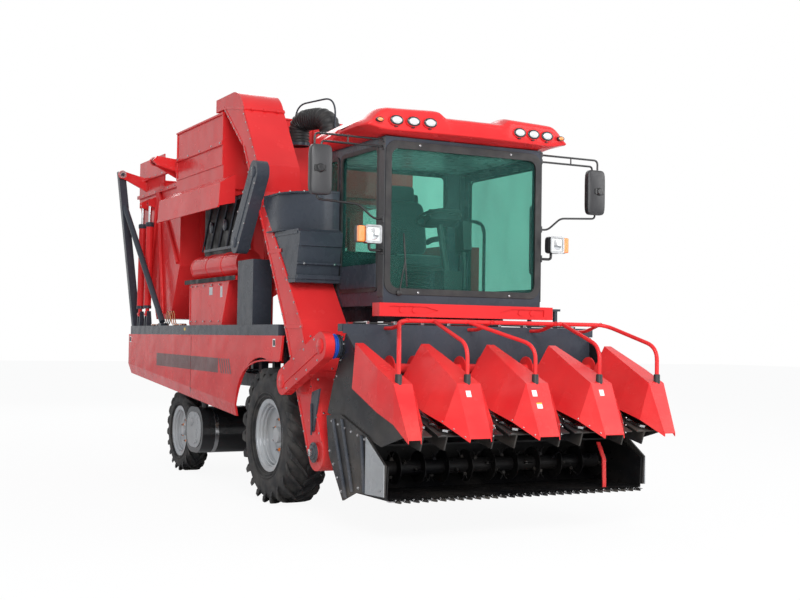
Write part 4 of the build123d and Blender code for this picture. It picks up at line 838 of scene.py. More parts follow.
# Smooth bent pipes in place of the flat-sided ones.
def make_guard_pipes():
    """Make the header's guard pipes round, with weld beads at their branches."""
    form = bmesh.new()
    outer_x, bend = 1.19, 0.11
    # Places behind the axle and up: the cross pipe, the bend down and the foot.
    cross, knee, foot = (-2.0, 1.65), (-2.555, 1.47), (-2.555, 1.205)
    tube(form, rounded([at(-outer_x, *foot), at(-outer_x, *knee), at(-0.9, *cross),
                        at(1.08, *cross), at(outer_x, *knee), at(outer_x, *foot)], bend, 8), 0.017, 16)
    for start, end in ((-0.59, -0.61), (-0.28, 0.0), (0.64, 0.61)):
        tube(form, rounded([at(start, *cross), at(end, *knee), at(end, *foot)], bend, 8), 0.0155, 16)
    stays = (-0.84, -0.06, 0.56, 1.02)
    for x in stays:
        tube(form, rounded([at(x, *cross), at(x, -1.8, 1.59), at(x, -1.65, 1.59)], 0.08, 6), 0.0155, 14)
    # Weld beads where the branches meet the cross pipe.
    for x in (-0.59, -0.28, 0.64, *stays):
        lathe(form, [(0.0165, -0.017), (0.0195, -0.02), (0.0195, -0.023), (0.016, -0.026)], at(x, *cross),
              BEHIND if x in stays else AHEAD, 16)
    piece("guard_pipes_round", form, "red", "header", sharp=60, replaces=["guard_pipes"])


make_guard_pipes()


def shell(form, low, high, power=5.0, bulge=None, cuts=10):
    """Add a closed box-like shell with soft corners between two corners; bulge = (axis, share) domes one side."""
    middle, half = (low + high) / 2, (high - low) / 2
    made = {}

    def corner(place):
        key = tuple(round(c, 5) for c in place)
        if key not in made:
            p = Vector(place)
            p /= sum(abs(c) ** power for c in p) ** (1 / power)
            if bulge:
                axis, share = bulge
                others = [c for i, c in enumerate(p) if i != axis]
                if p[axis] * share > 0:
                    p[axis] *= 1 - abs(share) * (1 - (1 - others[0] ** 2) * (1 - others[1] ** 2))
            made[key] = form.verts.new(middle + Vector([a * b for a, b in zip(p, half)]))
        return made[key]

    steps = [-1 + 2 * k / cuts for k in range(cuts + 1)]
    for axis in range(3):
        for side in (-1, 1):
            for a0, a1 in zip(steps, steps[1:]):
                for b0, b1 in zip(steps, steps[1:]):
                    pairs = ((a0, b0), (a1, b0), (a1, b1), (a0, b1))
                    form.faces.new([corner([side if i == axis else pair[(i - axis) % 3 - 1] for i in range(3)])
                                    for pair in pairs])


def make_mirrors():
    """Make the mirrors and head lamps with their arms, on both sides."""
    foot = -1.45  # the place of all the arms behind the axle
    for side, hand in SIDES:
        wall, reach = side * 0.775, side * 1.375
        bars, clamps = bmesh.new(), bmesh.new()
        for x, z in ((reach + side * 0.025, 3.15), (reach - side * 0.035, 3.09)):
            tube(bars, rounded([at(wall, foot, z), at(x, foot, z), at(x, foot, 3.03)], 0.04, 6), 0.009, 12)
            brick(clamps, across(side, 0.775, 0.79), near(foot, 0.022), near(z, 0.022))
        tube(bars, rounded([at(wall, foot, 2.49), at(side * 0.86, foot, 2.49), at(side * 1.0, foot, 2.6),
                            at(reach, foot, 2.62), at(reach, foot, 2.69)], 0.04, 6), 0.009, 12)
        brick(clamps, across(side, 0.775, 0.79), near(foot, 0.025), (2.462, 2.518))
        brick(clamps, near(reach, 0.04), near(foot, 0.015), (3.02, 3.046))
        strut = wall + side * 0.33
        tube(bars, [at(strut, foot, 3.088), at(strut, foot, 3.152)], 0.0065, 10)
        piece(f"mirror_arms_{hand}", bars, "gloss", sharp=60, replaces=["mirrors"] if side < 0 else ())
        piece(f"mirror_brackets_{hand}", clamps, "plastic", bevel=0.004)
        housing = bmesh.new()
        x0, x1 = sorted((reach - side * 0.115, reach + side * 0.078))
        shell(housing, at(x0, foot - 0.068, 2.65), at(x1, foot + 0.013, 3.055), 7.0, (1, -0.35))
        build(f"mirror_clamp_{hand}", "gloss",
            (lathe, knob(0.036, 0.016, 0.026, 0.028), at(reach, foot - 0.06, 2.86), AHEAD, 24),
            (brick, near(reach, 0.05), (foot - 0.076, foot - 0.062), (2.835, 2.885)),
            bevel=0.003)
        piece(f"mirror_housing_{hand}", housing, "plastic", sharp=80)
        build(f"mirror_glass_{hand}", "mirror",
            (prism, rounded_outline(x0 + 0.014, x1 - 0.014, 2.67, 3.035, 0.03), foot + 0.0125, foot + 0.0145, "y"))
        build(f"head_lamp_arm_{hand}", "gloss",
            (tube, rounded([at(wall, foot, 2.23), at(side * 0.9, foot, 2.23),
                at(side * 0.9, foot, 2.29)], 0.03, 6), 0.012, 12),
            (brick, across(side, 0.775, 0.787), near(foot, 0.03), (2.2, 2.26)),
            sharp=60, replaces=["head_lamps"] if side < 0 else ())
        body = bmesh.new()
        x0, x1 = across(side, 0.83, 0.975)
        shell(body, at(x0, foot - 0.08, 2.28), at(x1, foot + 0.02, 2.43), 6.0, (1, 0.3))
        x0, x1 = across(side, 0.972, 1.035)
        shell(body, at(x0, foot - 0.055, 2.285), at(x1, foot + 0.02, 2.425), 6.0, (1, 0.3))
        piece(f"head_lamp_shell_{hand}", body, "plastic", sharp=80)


make_mirrors()


def make_spout():
    """Make the corrugated gooseneck with its collar, mouth ring and hoop guard."""
    # Places across and behind the axle: the riser, the mouth, and the hoop's two ends.
    riser, mouth, near_end, far_end = (-0.33, 0.6), (-0.49, 1.02), (-0.33, 0.495), (-0.49, 1.125)
    route = rounded([at(*riser, 3.0), at(*riser, 3.7), at(*mouth, 3.7), at(*mouth, 3.45)], 0.2, 30)
    dense = []
    for one, two in zip(route, route[1:]):
        count = max(1, int((two - one).length / 0.006))
        dense += [one.lerp(two, k / count) for k in range(count)]
    dense.append(route[-1])
    build("spout_hose", "hose",
        (tube, dense[2:-1], 0.109, 36, lambda i: 0.955 + 0.045 * math.sin(i * 0.006 * 2 * math.pi / 0.03)),
        body="gooseneck", sharp=70, replaces=["spout"])
    rings = bmesh.new()
    lathe(rings, [(0.106, 0.0), (0.13, 0.0), (0.13, 0.008), (0.116, 0.01), (0.116, 0.04), (0.106, 0.04)],
          at(*riser, 3.0), UP, 40)
    lathe(rings, [(0.095, 0.0), (0.114, 0.0), (0.116, 0.03), (0.108, 0.032), (0.095, 0.032)],
        at(*mouth, 3.445), UP, 40)
    for k in range(8):
        a = 2 * math.pi * k / 8
        bolt(rings, at(-0.33 + 0.122 * math.cos(a), 0.6 + 0.122 * math.sin(a), 3.008), UP, 0.006)
    piece("spout_rings", rings, "dark", "gooseneck", sharp=40)
    build("spout_hoop", "dark",
        (tube, rounded([at(*near_end, 3.45), at(*near_end, 3.88), at(*far_end, 3.88),
            at(*far_end, 3.5)], 0.18, 12), 0.009, 12),
        *((tube, [place + UP * 0.008, place + UP * 0.008 + way * 0.02], 0.009, 10)
            for place, way in ((at(*near_end, 3.45), BEHIND), (at(*far_end, 3.5), AHEAD))),
        body="gooseneck", sharp=60)


make_spout()


# Right side: elevator, hood, fan and drive covers.
def strip(form, first, second, wide, x_low, x_high):
    """Add a flat bar between two (back, z) places, of a width, between two places across."""
    ahead = Vector((second[0] - first[0], second[1] - first[1]))
    off = Vector((-ahead.y, ahead.x)).normalized() * wide / 2
    prism(form, [(first[0] + off.x, first[1] + off.y), (second[0] + off.x, second[1] + off.y),
                 (second[0] - off.x, second[1] - off.y), (first[0] - off.x, first[1] - off.y)], x_low, x_high)


def along_line(first, second, count, x):
    """Give evenly spaced places between two (back, z) places on a wall at x."""
    return [at(x, first[0] + (second[0] - first[0]) * (k + 0.5) / count,
               first[1] + (second[1] - first[1]) * (k + 0.5) / count) for k in range(count)]


def make_right_side():
    """Dress the elevator, its hood, the fan and both drive covers."""
    x = -1.2
    front_edge = ((-1.235, 0.66), (-0.752, 1.66), (0.262, 2.86), (0.32, 3.1))
    back_edge = ((-0.985, 0.53), (-0.4, 1.655), (0.165, 2.545), (0.69, 3.34))
    build("elevator_flanges", "red",
        *((strip, one, two, 0.03, x - 0.005, x + 0.001) for edge in (front_edge, back_edge)
            for one, two in zip(edge, edge[1:])),
        *((strip, one, two, 0.034, x - 0.006, x + 0.001) for one, two in (((-0.82, 1.6), (-0.43, 1.6)),
            ((-1.05, 1.05), (-0.73, 1.02)), ((-0.3, 2.28), (0.0, 2.28)))),
        bevel=0.002)
    spots = []
    for edge in (front_edge, back_edge):
        for one, two in zip(edge, edge[1:]):
            count = max(2, int(math.dist(one, two) / 0.13))
            spots += along_line(one, two, count, x - 0.005)
    bolts("elevator_bolts", spots, RIGHT, size=0.0075)
    hub = bmesh.new()
    for r, out in ((0.085, 0.01), (0.06, 0.022), (0.036, 0.032)):
        lathe(hub, [(0, 0), (r, 0), (r, out - 0.003), (r - 0.004, out), (0, out)],
            at(x - 0.018, -1.13, 0.56), RIGHT, 32)
    for k in range(6):
        a = 2 * math.pi * k / 6
        bolt(hub, at(x - 0.027, -1.13 + 0.071 * math.cos(a), 0.56 + 0.071 * math.sin(a)), RIGHT, 0.007)
    piece("boot_hub", hub, "dark", sharp=40)
    build("boot_bearing", "steel",
        (lathe, [(0, 0), (0.03, 0), (0.03, 0.012), (0.018, 0.016), (0.018, 0.004), (0, 0.004)],
            at(x - 0.05, -1.13, 0.56), RIGHT, 28),
        sharp=40)
    build("boot_bracket", "dark",
        (prism, [(-1.215, 1.09), (-1.06, 1.055), (-1.03, 0.9), (-1.065, 0.72), (-1.105, 0.735)], x - 0.016, x),
        (tube, [at(x - 0.024, -1.085, 0.7), at(x - 0.024, -1.07, 0.96)], 0.008, 10),
        bevel=0.004)
    build("elevator_latch_cover", "dark",
        (prism, [(-0.9, 1.385), (-0.84, 1.415), (-0.56, 1.235), (-0.57, 1.19), (-0.62, 1.17),
            (-0.88, 1.335)], x - 0.032, x),
        bevel=0.006)
    build("header_pulley", "blue",
        (lathe, [(0, 0), (0.1, 0), (0.1, 0.006), (0.086, 0.01), (0.086, 0.02), (0.1, 0.024), (0.1, 0.03), (0, 0.03)],
            at(-1.222, -1.5, 1.44), RIGHT, 36),
        body="header", sharp=40)
    # Cleaning door on the trunk's front face.
    slope = (Vector((0, -0.78 + 1.275, 1.66 - 0.61))).normalized()
    out = Vector((0, -slope.z, slope.y))
    start = at(0, -1.275, 0.61)
    door = bmesh.new()
    for low, high in ((0.28, 0.62), (0.68, 1.02)):
        corners = [start + slope * s + Vector((sx, 0, 0))
                   for sx, s in ((-1.165, low), (-0.825, low), (-0.825, high), (-1.165, high))]
        slab(door, corners, [p + out * 0.006 for p in corners])
    piece("elevator_front_doors", door, "red", bevel=0.003)
    door_bolts = [start + slope * s + Vector((sx, 0, 0)) + out * 0.006
                  for s in (0.3, 0.6, 0.7, 1.0) for sx in (-1.145, -0.995, -0.845)]
    bolts("elevator_door_bolts", door_bolts, out, size=0.0075)

    # Hood: a hem strip, the lid and bolts.
    build("hood_hem", "red",
        (strip, (0.345, 3.165), (0.735, 3.7), 0.028, x - 0.005, x + 0.001),
        (strip, (0.74, 3.375), (1.265, 3.8), 0.028, x - 0.005, x + 0.001),
        (strip, (1.265, 3.805), (1.505, 3.805), 0.028, x - 0.005, x + 0.001),
        bevel=0.002)
    # The lid's lip across the hood's face, with its three catches.
    lip, catches = bmesh.new(), bmesh.new()
    prism(lip, [(0.702, 3.6985), (0.69, 3.7065), (0.711, 3.736), (0.721, 3.726)], -1.206, -0.779)
    strip(lip, (0.712, 3.708), (1.25, 3.8), 0.022, x - 0.006, x + 0.001)
    for cx in (-1.12, -0.99, -0.86):
        prism(catches, [(0.696, 3.69), (0.678, 3.702), (0.696, 3.727), (0.708, 3.718)], cx - 0.013, cx + 0.013)
    piece("hood_lid_lip", lip, "red", bevel=0.002)
    piece("hood_lid_catches", catches, "red", bevel=0.002)
    bolts("hood_bolts", along_line((0.345, 3.165), (0.735, 3.7), 6, x - 0.005)
          + along_line((0.74, 3.375), (1.265, 3.8), 6, x - 0.005), RIGHT, size=0.007)

    # Fan: a flange round the top and the foot, a seam band and its bolts.
    fan = bmesh.new()
    outline = [(-0.79, -0.632), (-0.96, -0.604), (-1.085, -0.53), (-1.18, -0.435), (-1.226, -0.3), (-1.226, 0.0),
               (-0.79, 0.0)]
    for z in (2.452, 2.78):
        prism(fan, outline, z, z + 0.012, "z")
    piece("fan_flanges", fan, "dark", bevel=0.002)
    ring_spots = [at(px, pb, 2.792) for px, pb in outline[1:5]]
    bolts("fan_top_bolts", ring_spots, UP, size=0.008)
    build("fan_duct_bands", "dark",
        *((prism, [(-0.655 - (low - 2.03) * 0.13 - out, low), (-0.655 - (high - 2.03) * 0.13 - out, high),
            (-0.64 - (high - 2.03) * 0.13, high), (-0.64 - (low - 2.03) * 0.13, low)], -1.198, -0.79)
            for low, high, out in ((2.3, 2.425, 0.01), (2.14, 2.158, 0.008), (2.012, 2.052, 0.014))),
        bevel=0.003)
    bolts("fan_duct_bolts", [at(px, -0.676, 2.149) for px in (-1.14, -0.85)], AHEAD, size=0.008)
    build("fan_duct_hems", "dark",
        (strip, (-0.395, 2.03), (-0.64, 2.03), 0.026, -1.2015, -1.193),
        (strip, (-0.135, 2.42), (-0.655, 2.42), 0.026, -1.2015, -1.193),
        bevel=0.002)

    # Drive covers: a raised spine, end bosses and bolts.
    build("drive_cover_spine", "dark",
        (strip, (0.12, 3.02), (0.58, 2.4), 0.06, -1.326, -1.319),
        *((lathe, knob(0.052, 0.008, 0.044, 0.012), at(-1.319, back, z), RIGHT, 28)
            for back, z in ((0.12, 3.02), (0.58, 2.4))),
        bevel=0.002)
    spots = [at(-1.319, 0.12 + (0.46 * s) + off * 0.08, 3.02 - 0.62 * s + off * 0.06)
             for s in (0.08, 0.36, 0.64, 0.92) for off in (-1, 1)]
    bolts("drive_cover_bolts", spots, RIGHT, size=0.008)
    build("drive_guard_spine", "red",
        (strip, (-0.76, 1.145), (-1.46, 1.425), 0.07, -1.352, -1.344),
        *((lathe, knob(0.06, 0.008, 0.05, 0.013), at(-1.344, back, z), RIGHT, 32)
            for back, z in ((-0.72, 1.13), (-1.5, 1.44))),
        bevel=0.002)
    bolts("drive_guard_bolts", [at(-1.344, -0.72 - 0.78 * s + off * 0.033, 1.13 + 0.31 * s + off * 0.083)
                                for s in (0.1, 0.37, 0.63, 0.9) for off in (-1, 1)], RIGHT, size=0.008)


make_right_side()


def make_husker_and_bin():
    """Dress the hopper, husking bed, husk box, ear bin and tipping rams."""
    x = -1.19
    build("hopper_ribs", "red",
        (brick, (x - 0.018, x + 0.001), (1.3, 2.83), (3.75, 3.77)),
        (brick, (x - 0.01, x + 0.001), (1.3, 2.83), (3.236, 3.256)),
        (brick, (x - 0.01, x + 0.001), (1.305, 1.325), (3.255, 3.75)),
        (brick, (x - 0.01, x + 0.001), (2.805, 2.825), (3.255, 3.75)),
        bevel=0.002)
    bolts("hopper_bolts", [at(x - 0.022, back, 3.46) for back in (1.35, 1.61, 1.99, 2.37, 2.75)], RIGHT, size=0.009)
    build("hopper_front_ribs", "red",
        *((brick, near(px, 0.014), (1.288, 1.301), (3.255, 3.755)) for px in (-0.95, -0.6, -0.2, 0.2, 0.6)),
        (brick, (-1.19, 0.98), (1.286, 1.301), (3.75, 3.77)),
        bevel=0.002)
    left = bmesh.new()
    for back in (1.42, 1.8, 2.18, 2.56):
        brick(left, (0.979, 0.994), near(back, 0.014), (3.255, 3.755))
        brick(left, (0.979, 0.992), near(back, 0.012), (3.01, 3.23))
    brick(left, (0.979, 0.996), (1.3, 2.83), (3.75, 3.77))
    piece("hopper_left_ribs", left, "red", bevel=0.002)
    # Husking rollers that lie along the bed inside the hopper.
    rollers = bmesh.new()
    for k in range(12):
        cx = -1.06 + k * 0.175
        grooves = [(0, 0)] + [(0.034 if i % 2 else 0.038, 0.02 + i * 0.04) for i in range(36)] + [(0, 1.46)]
        lathe(rollers, grooves, at(cx, 1.335, 3.262), BEHIND, 14)
    piece("husking_rollers", rollers, "hose", sharp=50)
    build("apron_hem", "red", (brick, (-1.368, -1.348), (0.945, 2.97), (2.765, 2.785)), bevel=0.002)
    # A near-black sheet behind the rods: painted shade in the husking bed's side opening.
    shade_sheet, rods = bmesh.new(), bmesh.new()
    brick(shade_sheet, (-1.034, -1.0295), (0.905, 2.285), (2.37, 2.935))
    piece("bed_side_shade_sheet", shade_sheet, "shade_black")
    for k in range(5):
        back = 1.05 + k * 0.25
        tube(rods, [at(-1.042, back, 2.905), at(-1.042, back + 0.28, 2.42)], 0.008, 8)
    for z in (2.42, 2.905):
        brick(rods, (-1.05, -1.034), (0.93, 2.26), near(z, 0.014))
    for back in (1.2, 1.62, 2.04):
        lathe(rods, knob(0.06, 0.012, 0.03, 0.02), at(-1.04, back, 2.66), RIGHT, 24)
    piece("bed_side_linkage", rods, "dark", sharp=40)
    # A near-black strip along the top of the husk box's side: painted shade.
    build("husk_box_shade_strip", "shade_black", (brick, (-1.206, -1.196), (0.86, 2.43), (2.058, 2.104)), bevel=0.003)
    build("husk_box_plates", "silver",
        (brick, (-1.1825, -1.1795), (1.28, 1.34), (1.9, 2.01)),
        (brick, (-1.1825, -1.1795), (1.58, 1.68), (1.93, 2.01)))
    build("husk_box_panel", "red",
        (strip, (1.285, 1.63), (1.09, 2.05), 0.022, -1.186, -1.1795),
        (strip, (2.298, 1.63), (2.298, 2.05), 0.022, -1.186, -1.1795),
        bevel=0.002)
    bolts("husk_box_bolts", [at(-1.186, back, z) for back in (1.36, 1.6, 1.84, 2.08, 2.24)
        for z in (1.66, 2.03)], RIGHT, size=0.008)
    build("husk_blower_bands", "red",
        *((lathe, [(0.128, -0.01), (0.1345, -0.01), (0.1345, 0.01), (0.128, 0.01)], at(-1.05, back, 2.23), BEHIND,
            40) for back in (0.905, 1.365, 1.825, 2.285)),
        (lathe, knob(0.055, 0.014, 0.048, 0.018), at(-1.05, 0.9, 2.23), AHEAD, 28),
        sharp=40)

    # Ear bin: a tube along the rim, ribs on its walls, hinge washers and bolts.
    rim = bmesh.new()
    z = 3.452
    tube(rim, [at(-1.093, 4.632, z), at(1.182, 4.632, z), at(1.182, 2.958, z), at(-1.093, 2.958, z)], 0.016, 12)
    piece("bin_rim_tube", rim, "red", "bin", sharp=60)
    walls = bmesh.new()
    for back in (3.2, 3.62, 4.05, 4.45):
        brick(walls, (1.189, 1.204), near(back, 0.016), (2.8, 3.425))
    brick(walls, (1.189, 1.202), (2.96, 4.63), (3.09, 3.12))
    for px in (-0.85, -0.45, -0.05, 0.35, 0.75, 1.05):
        brick(walls, near(px, 0.016), (4.639, 4.654), (3.215, 3.425))
        brick(walls, near(px, 0.016), (2.936, 2.951), (2.93 if px > 0.4 else 2.32, 3.425))
    piece("bin_ribs", walls, "red", "bin", bevel=0.002)
    build("bin_hinge_washers", "steel",
        *((lathe, [(0.021, -0.004), (0.046, -0.004), (0.046, 0.002), (0.021, 0.002)], at(-1.4, back, 3.46), AHEAD,
            28) for back in (3.0, 4.33)),
        body="bin")
    nuts = []
    for back in (3.1, 3.35, 3.6, 3.85, 4.1, 4.35, 4.58):
        nuts += [at(-1.13, back, 3.22), at(-1.13, back, 3.42)]
    bolts("bin_rail_bolts", nuts, RIGHT, "bin", size=0.008)

    # Tipping rams with glands, ports and pipes, and the pipes along the beam.
    way = (at(-1.18, 0, 3.08) - at(-1.19, 0, 1.76)).normalized()
    glands, pipes = bmesh.new(), bmesh.new()
    for back in (3.88, 4.18):
        foot = at(-1.19, back, 1.76)
        lathe(glands, [(0.0355, 1.04), (0.047, 1.04), (0.049, 1.05), (0.049, 1.088), (0.042, 1.094), (0.0355, 1.094)],
              foot, way, 28)
        lathe(glands, [(0.04, 0.066), (0.046, 0.066), (0.046, 0.098), (0.041, 0.104)], foot, way, 28)
        for share in (0.14, 1.0):
            spot = foot + way * share + BEHIND * 0.038
            tube(glands, [spot, spot + BEHIND * 0.028], 0.011, 10)
        tube(pipes, rounded([foot + way * 1.0 + BEHIND * 0.06, foot + way * 0.97 + BEHIND * 0.062,
                             foot + way * 0.2 + BEHIND * 0.062, foot + way * 0.14 + BEHIND * 0.06], 0.02), 0.006, 8)
    piece("tip_ram_glands", glands, "dark", "tip_barrels", sharp=40)
    piece("tip_ram_pipes", pipes, "copper", "tip_barrels", sharp=60)
    build("beam_pipes", "copper",
        *((tube, rounded([at(-1.165 + dx, 2.6, 1.628), at(-1.165 + dx, 2.98, 1.63),
            at(-1.165 + dx, 3.06, 1.76 + 0.02 * k), at(-1.165 + dx, 3.17, 1.8 - 0.02 * k),
            at(-1.165 + dx, 3.2, 1.64), at(-1.165 + dx, 3.76, 1.63)], 0.06), 0.0065, 8)
            for k, dx in enumerate((0.0, 0.022, 0.044))),
        sharp=60)
    build("beam_pipe_clamps", "steel",
        *((brick, (-1.182, -1.104), near(back, 0.012), (1.6195, 1.642)) for back in (2.66, 2.9, 3.3, 3.52, 3.74)),
        bevel=0.003)


make_husker_and_bin()


def make_body_sides():
    """Dress the side panels on both sides, and the tank."""
    for side, hand in SIDES:
        face = side * 1.215

        def span(low, high):
            return sorted((face - side * 0.002 + side * low, face + side * high))

        build(f"panel_seams_{hand}", "black", (brick, span(0.0, 0.0012), (2.132, 2.137), (0.905, 1.512)))
        latches, keys = bmesh.new(), bmesh.new()
        for back, z in ((4.484, 1.458), (-0.214, 1.455)):
            brick(latches, span(0.0, 0.006), near(back, 0.03), near(z, 0.036))
            brick(keys, sorted((face + side * 0.005, face + side * 0.013)), (back - 0.018, back + 0.004),
                  near(z, 0.026))
        piece(f"panel_latches_{hand}", latches, "chrome", bevel=0.002)
        piece(f"latch_keys_{hand}", keys, "plastic", bevel=0.003)
        band, stripes = bmesh.new(), bmesh.new()
        for low, high in ((3.375, 2.142), (2.126, 1.27)):
            prism(band, [(low, 1.307 - (3.375 - low) * 0.0082), (high, 1.307 - (3.375 - high) * 0.0082),
                (high, 1.166 - (3.365 - high) * 0.0104), (low, 1.166 - (3.365 - low) * 0.0104)], *span(0.0, 0.0012))
        for k in range(5):
            back = 1.255 - k * 0.066
            prism(stripes, [(back, 1.289), (back - 0.036, 1.289), (back - 0.108, 1.141), (back - 0.072, 1.141)],
                  *span(0.0, 0.0012))
        piece(f"side_band_{hand}", band, "band")
        piece(f"side_stripes_{hand}", stripes, "band")
        build(f"beam_marker_{hand}", "yellow", (brick, span(0.0, 0.0018), (2.335, 2.385), (1.565, 1.595)))
        lip = bmesh.new()
        x0, x1 = sorted((face - side * 0.004, face + side * 0.006))
        arch = [(0.74, 0.94), (0.7, 1.03), (0.64, 1.108), (0.57, 1.168), (0.5, 1.205), (0.38, 1.247), (0.24, 1.277),
                (0.09, 1.29), (-0.06, 1.295), (-0.335, 1.295)]
        for one, two in zip(arch, arch[1:]):
            strip(lip, one, two, 0.014, x0, x1)
        piece(f"arch_lip_{hand}", lip, "red", bevel=0.001)
        # Rigid pipes that loop behind the front wheel, clamped to the rail at both ends.
        loops, clamps = bmesh.new(), bmesh.new()
        for k, drop in enumerate((0.58, 0.7)):
            first, last = 0.7 + k * 0.1, 1.16 + k * 0.06
            tube(loops, rounded([at(side * 0.4245, first, 1.03), at(side * 0.9, first + 0.02, 1.0),
                at(side * (0.95 - k * 0.06), first + 0.08, drop), at(side * (0.9 - k * 0.06), last - 0.06, drop),
                at(side * 0.4245, last, 1.03)], 0.14, 8), 0.01, 10)
            for back in (first, last):
                brick(clamps, across(side, 0.42, 0.44), near(back, 0.02), (1.008, 1.052))
        piece(f"brake_pipes_{hand}", loops, "ochre", sharp=60)
        piece(f"brake_clamps_{hand}", clamps, "steel", bevel=0.002)

    # Tank: an end plate with a sender and a drain, straps and a filler neck.
    tank = bmesh.new()
    outline = rounded_outline(1.86, 2.31, 0.335, 0.705, 0.165, 8)
    prism(tank, outline, -1.188, -1.179)
    lathe(tank, knob(0.042, 0.012, 0.03, 0.02), at(-1.186, 2.15, 0.6), RIGHT, 24)
    lathe(tank, [(0, 0), (0.02, 0), (0.02, 0.022), (0, 0.022)], at(-1.186, 2.0, 0.4), RIGHT, 16)
    piece("tank_end_plate", tank, "grey", bevel=0.002)
    straps = bmesh.new()
    outer = rounded_outline(1.803, 2.367, 0.278, 0.762, 0.212, 8)
    inner = rounded_outline(1.807, 2.363, 0.282, 0.758, 0.208, 8)
    for x in (-1.02, -0.62):
        ring(straps, outer, inner, x - 0.02, x + 0.02, "x")
    piece("tank_straps", straps, "steel", bevel=0.001)
    build("tank_filler", "plastic",
        (lathe, [(0, 0), (0.034, 0), (0.034, 0.05), (0.046, 0.052), (0.046, 0.084), (0.038, 0.092), (0, 0.092)],
            at(-1.09, 2.0, 0.755), UP, 28),
        sharp=40)


make_body_sides()


def make_left_and_rear():
    """Dress the door, the landing, the cooling box and the rear panel."""
    # Door: handle, lock and seal on its outside.
    build("door_handle", "gloss",
        (tube, rounded([at(0.816, -1.345, 2.2), at(0.85, -1.345, 2.2), at(0.85, -1.345, 2.38),
            at(0.816, -1.345, 2.38)], 0.02), 0.009, 10),
        (lathe, [(0, 0), (0.02, 0), (0.02, 0.008), (0, 0.01)], at(0.816, -1.345, 2.12), LEFT, 20),
        body="door", sharp=50)
    build("door_pane_seal", "hose",
        (ring, rounded_outline(-1.352, -0.198, 1.944, 3.056, 0.06),
            rounded_outline(-1.33, -0.22, 1.966, 3.034, 0.04), 0.8155, 0.82, "x"),
        body="door", bevel=0.001)
    build("door_grab_handle", "gloss",
        (tube, rounded([at(0.791, -1.367, 2.1), at(0.736, -1.367, 2.1), at(0.736, -1.367, 2.7),
            at(0.791, -1.367, 2.7)], 0.03), 0.0105, 12),
        body="door", sharp=60)
    # Landing: treads with raised studs, a round rail.
    treads, rail = bmesh.new(), bmesh.new()
    for z in (0.515, 0.815, 1.115, 1.415):
        for back in (-1.08, -1.02, -0.96, -0.9, -0.84, -0.8):
            brick(treads, (1.055, 1.195), near(back, 0.006), (z - 0.001, z + 0.004))
    for back in (-1.1, -0.95, -0.8, -0.65, -0.5, -0.35, -0.2, -0.05, 0.08):
        for x in (0.82, 0.9, 0.98, 1.06, 1.14):
            prism(treads, [(x - 0.022, back), (x, back - 0.007), (x + 0.022, back),
                (x, back + 0.007)], 1.799, 1.803, "z")
    piece("landing_treads", treads, "steel")
    tube(rail, rounded([at(1.18, 0.13, 1.795), at(1.18, 0.13, 2.7), at(0.84, 0.13, 2.7), at(0.84, 0.13, 1.795)],
                       0.12, 8), 0.0168, 16)
    for x in (0.84, 1.18):
        lathe(rail, knob(0.034, 0.008, 0.018, 0.012), at(x, 0.13, 1.799), UP, 24)
    piece("landing_rail_round", rail, "dark", sharp=50)
    # Cooling box: a mesh behind the louvres, and bolts.
    mesh_form = bmesh.new()
    for k in range(28):
        back = 0.315 + k * 0.03
        brick(mesh_form, (1.1505, 1.1535), near(back, 0.0015), (1.7, 2.37))
    for k in range(22):
        z = 1.715 + k * 0.03
        brick(mesh_form, (1.1505, 1.1535), (0.305, 1.135), near(z, 0.0015))
    piece("cooling_mesh", mesh_form, "black")
    bolts("cooling_bolts", [at(1.19, back, z) for back in (0.27, 0.5, 0.72, 0.94, 1.17)
        for z in (1.655, 2.415)], LEFT, size=0.008)
    # Tail lamps and a bolted frame on the rear panel.
    lamps, bases = bmesh.new(), bmesh.new()
    for side in (-1, 1):
        x0, x1 = across(side, 0.98, 1.12)
        brick(bases, (x0 - 0.008, x1 + 0.008), (4.569, 4.58), (1.342, 1.418))
        brick(lamps, (x0, x1), (4.579, 4.594), (1.35, 1.41))
    piece("tail_lamp_bases", bases, "plastic", bevel=0.004)
    piece("tail_lamps", lamps, "amber", bevel=0.006)
    build("rear_panel_frame", "red",
        (ring, rounded_outline(-1.18, 1.18, 1.178, 1.508, 0.02),
            rounded_outline(-1.15, 1.15, 1.208, 1.478, 0.02), 4.569, 4.576),
        bevel=0.002)
    bolts("rear_panel_bolts", [at(x, 4.576, z) for x in (-1.1, -0.66, -0.22, 0.22, 0.66, 1.1)
        for z in (1.193, 1.493)], BEHIND, size=0.008)


make_left_and_rear()


def ease(value, low, high):
    """Go smoothly from 0 at low to 1 at high."""
    share = min(1.0, max(0.0, (value - low) / (high - low)))
    return share * share * (3 - 2 * share)


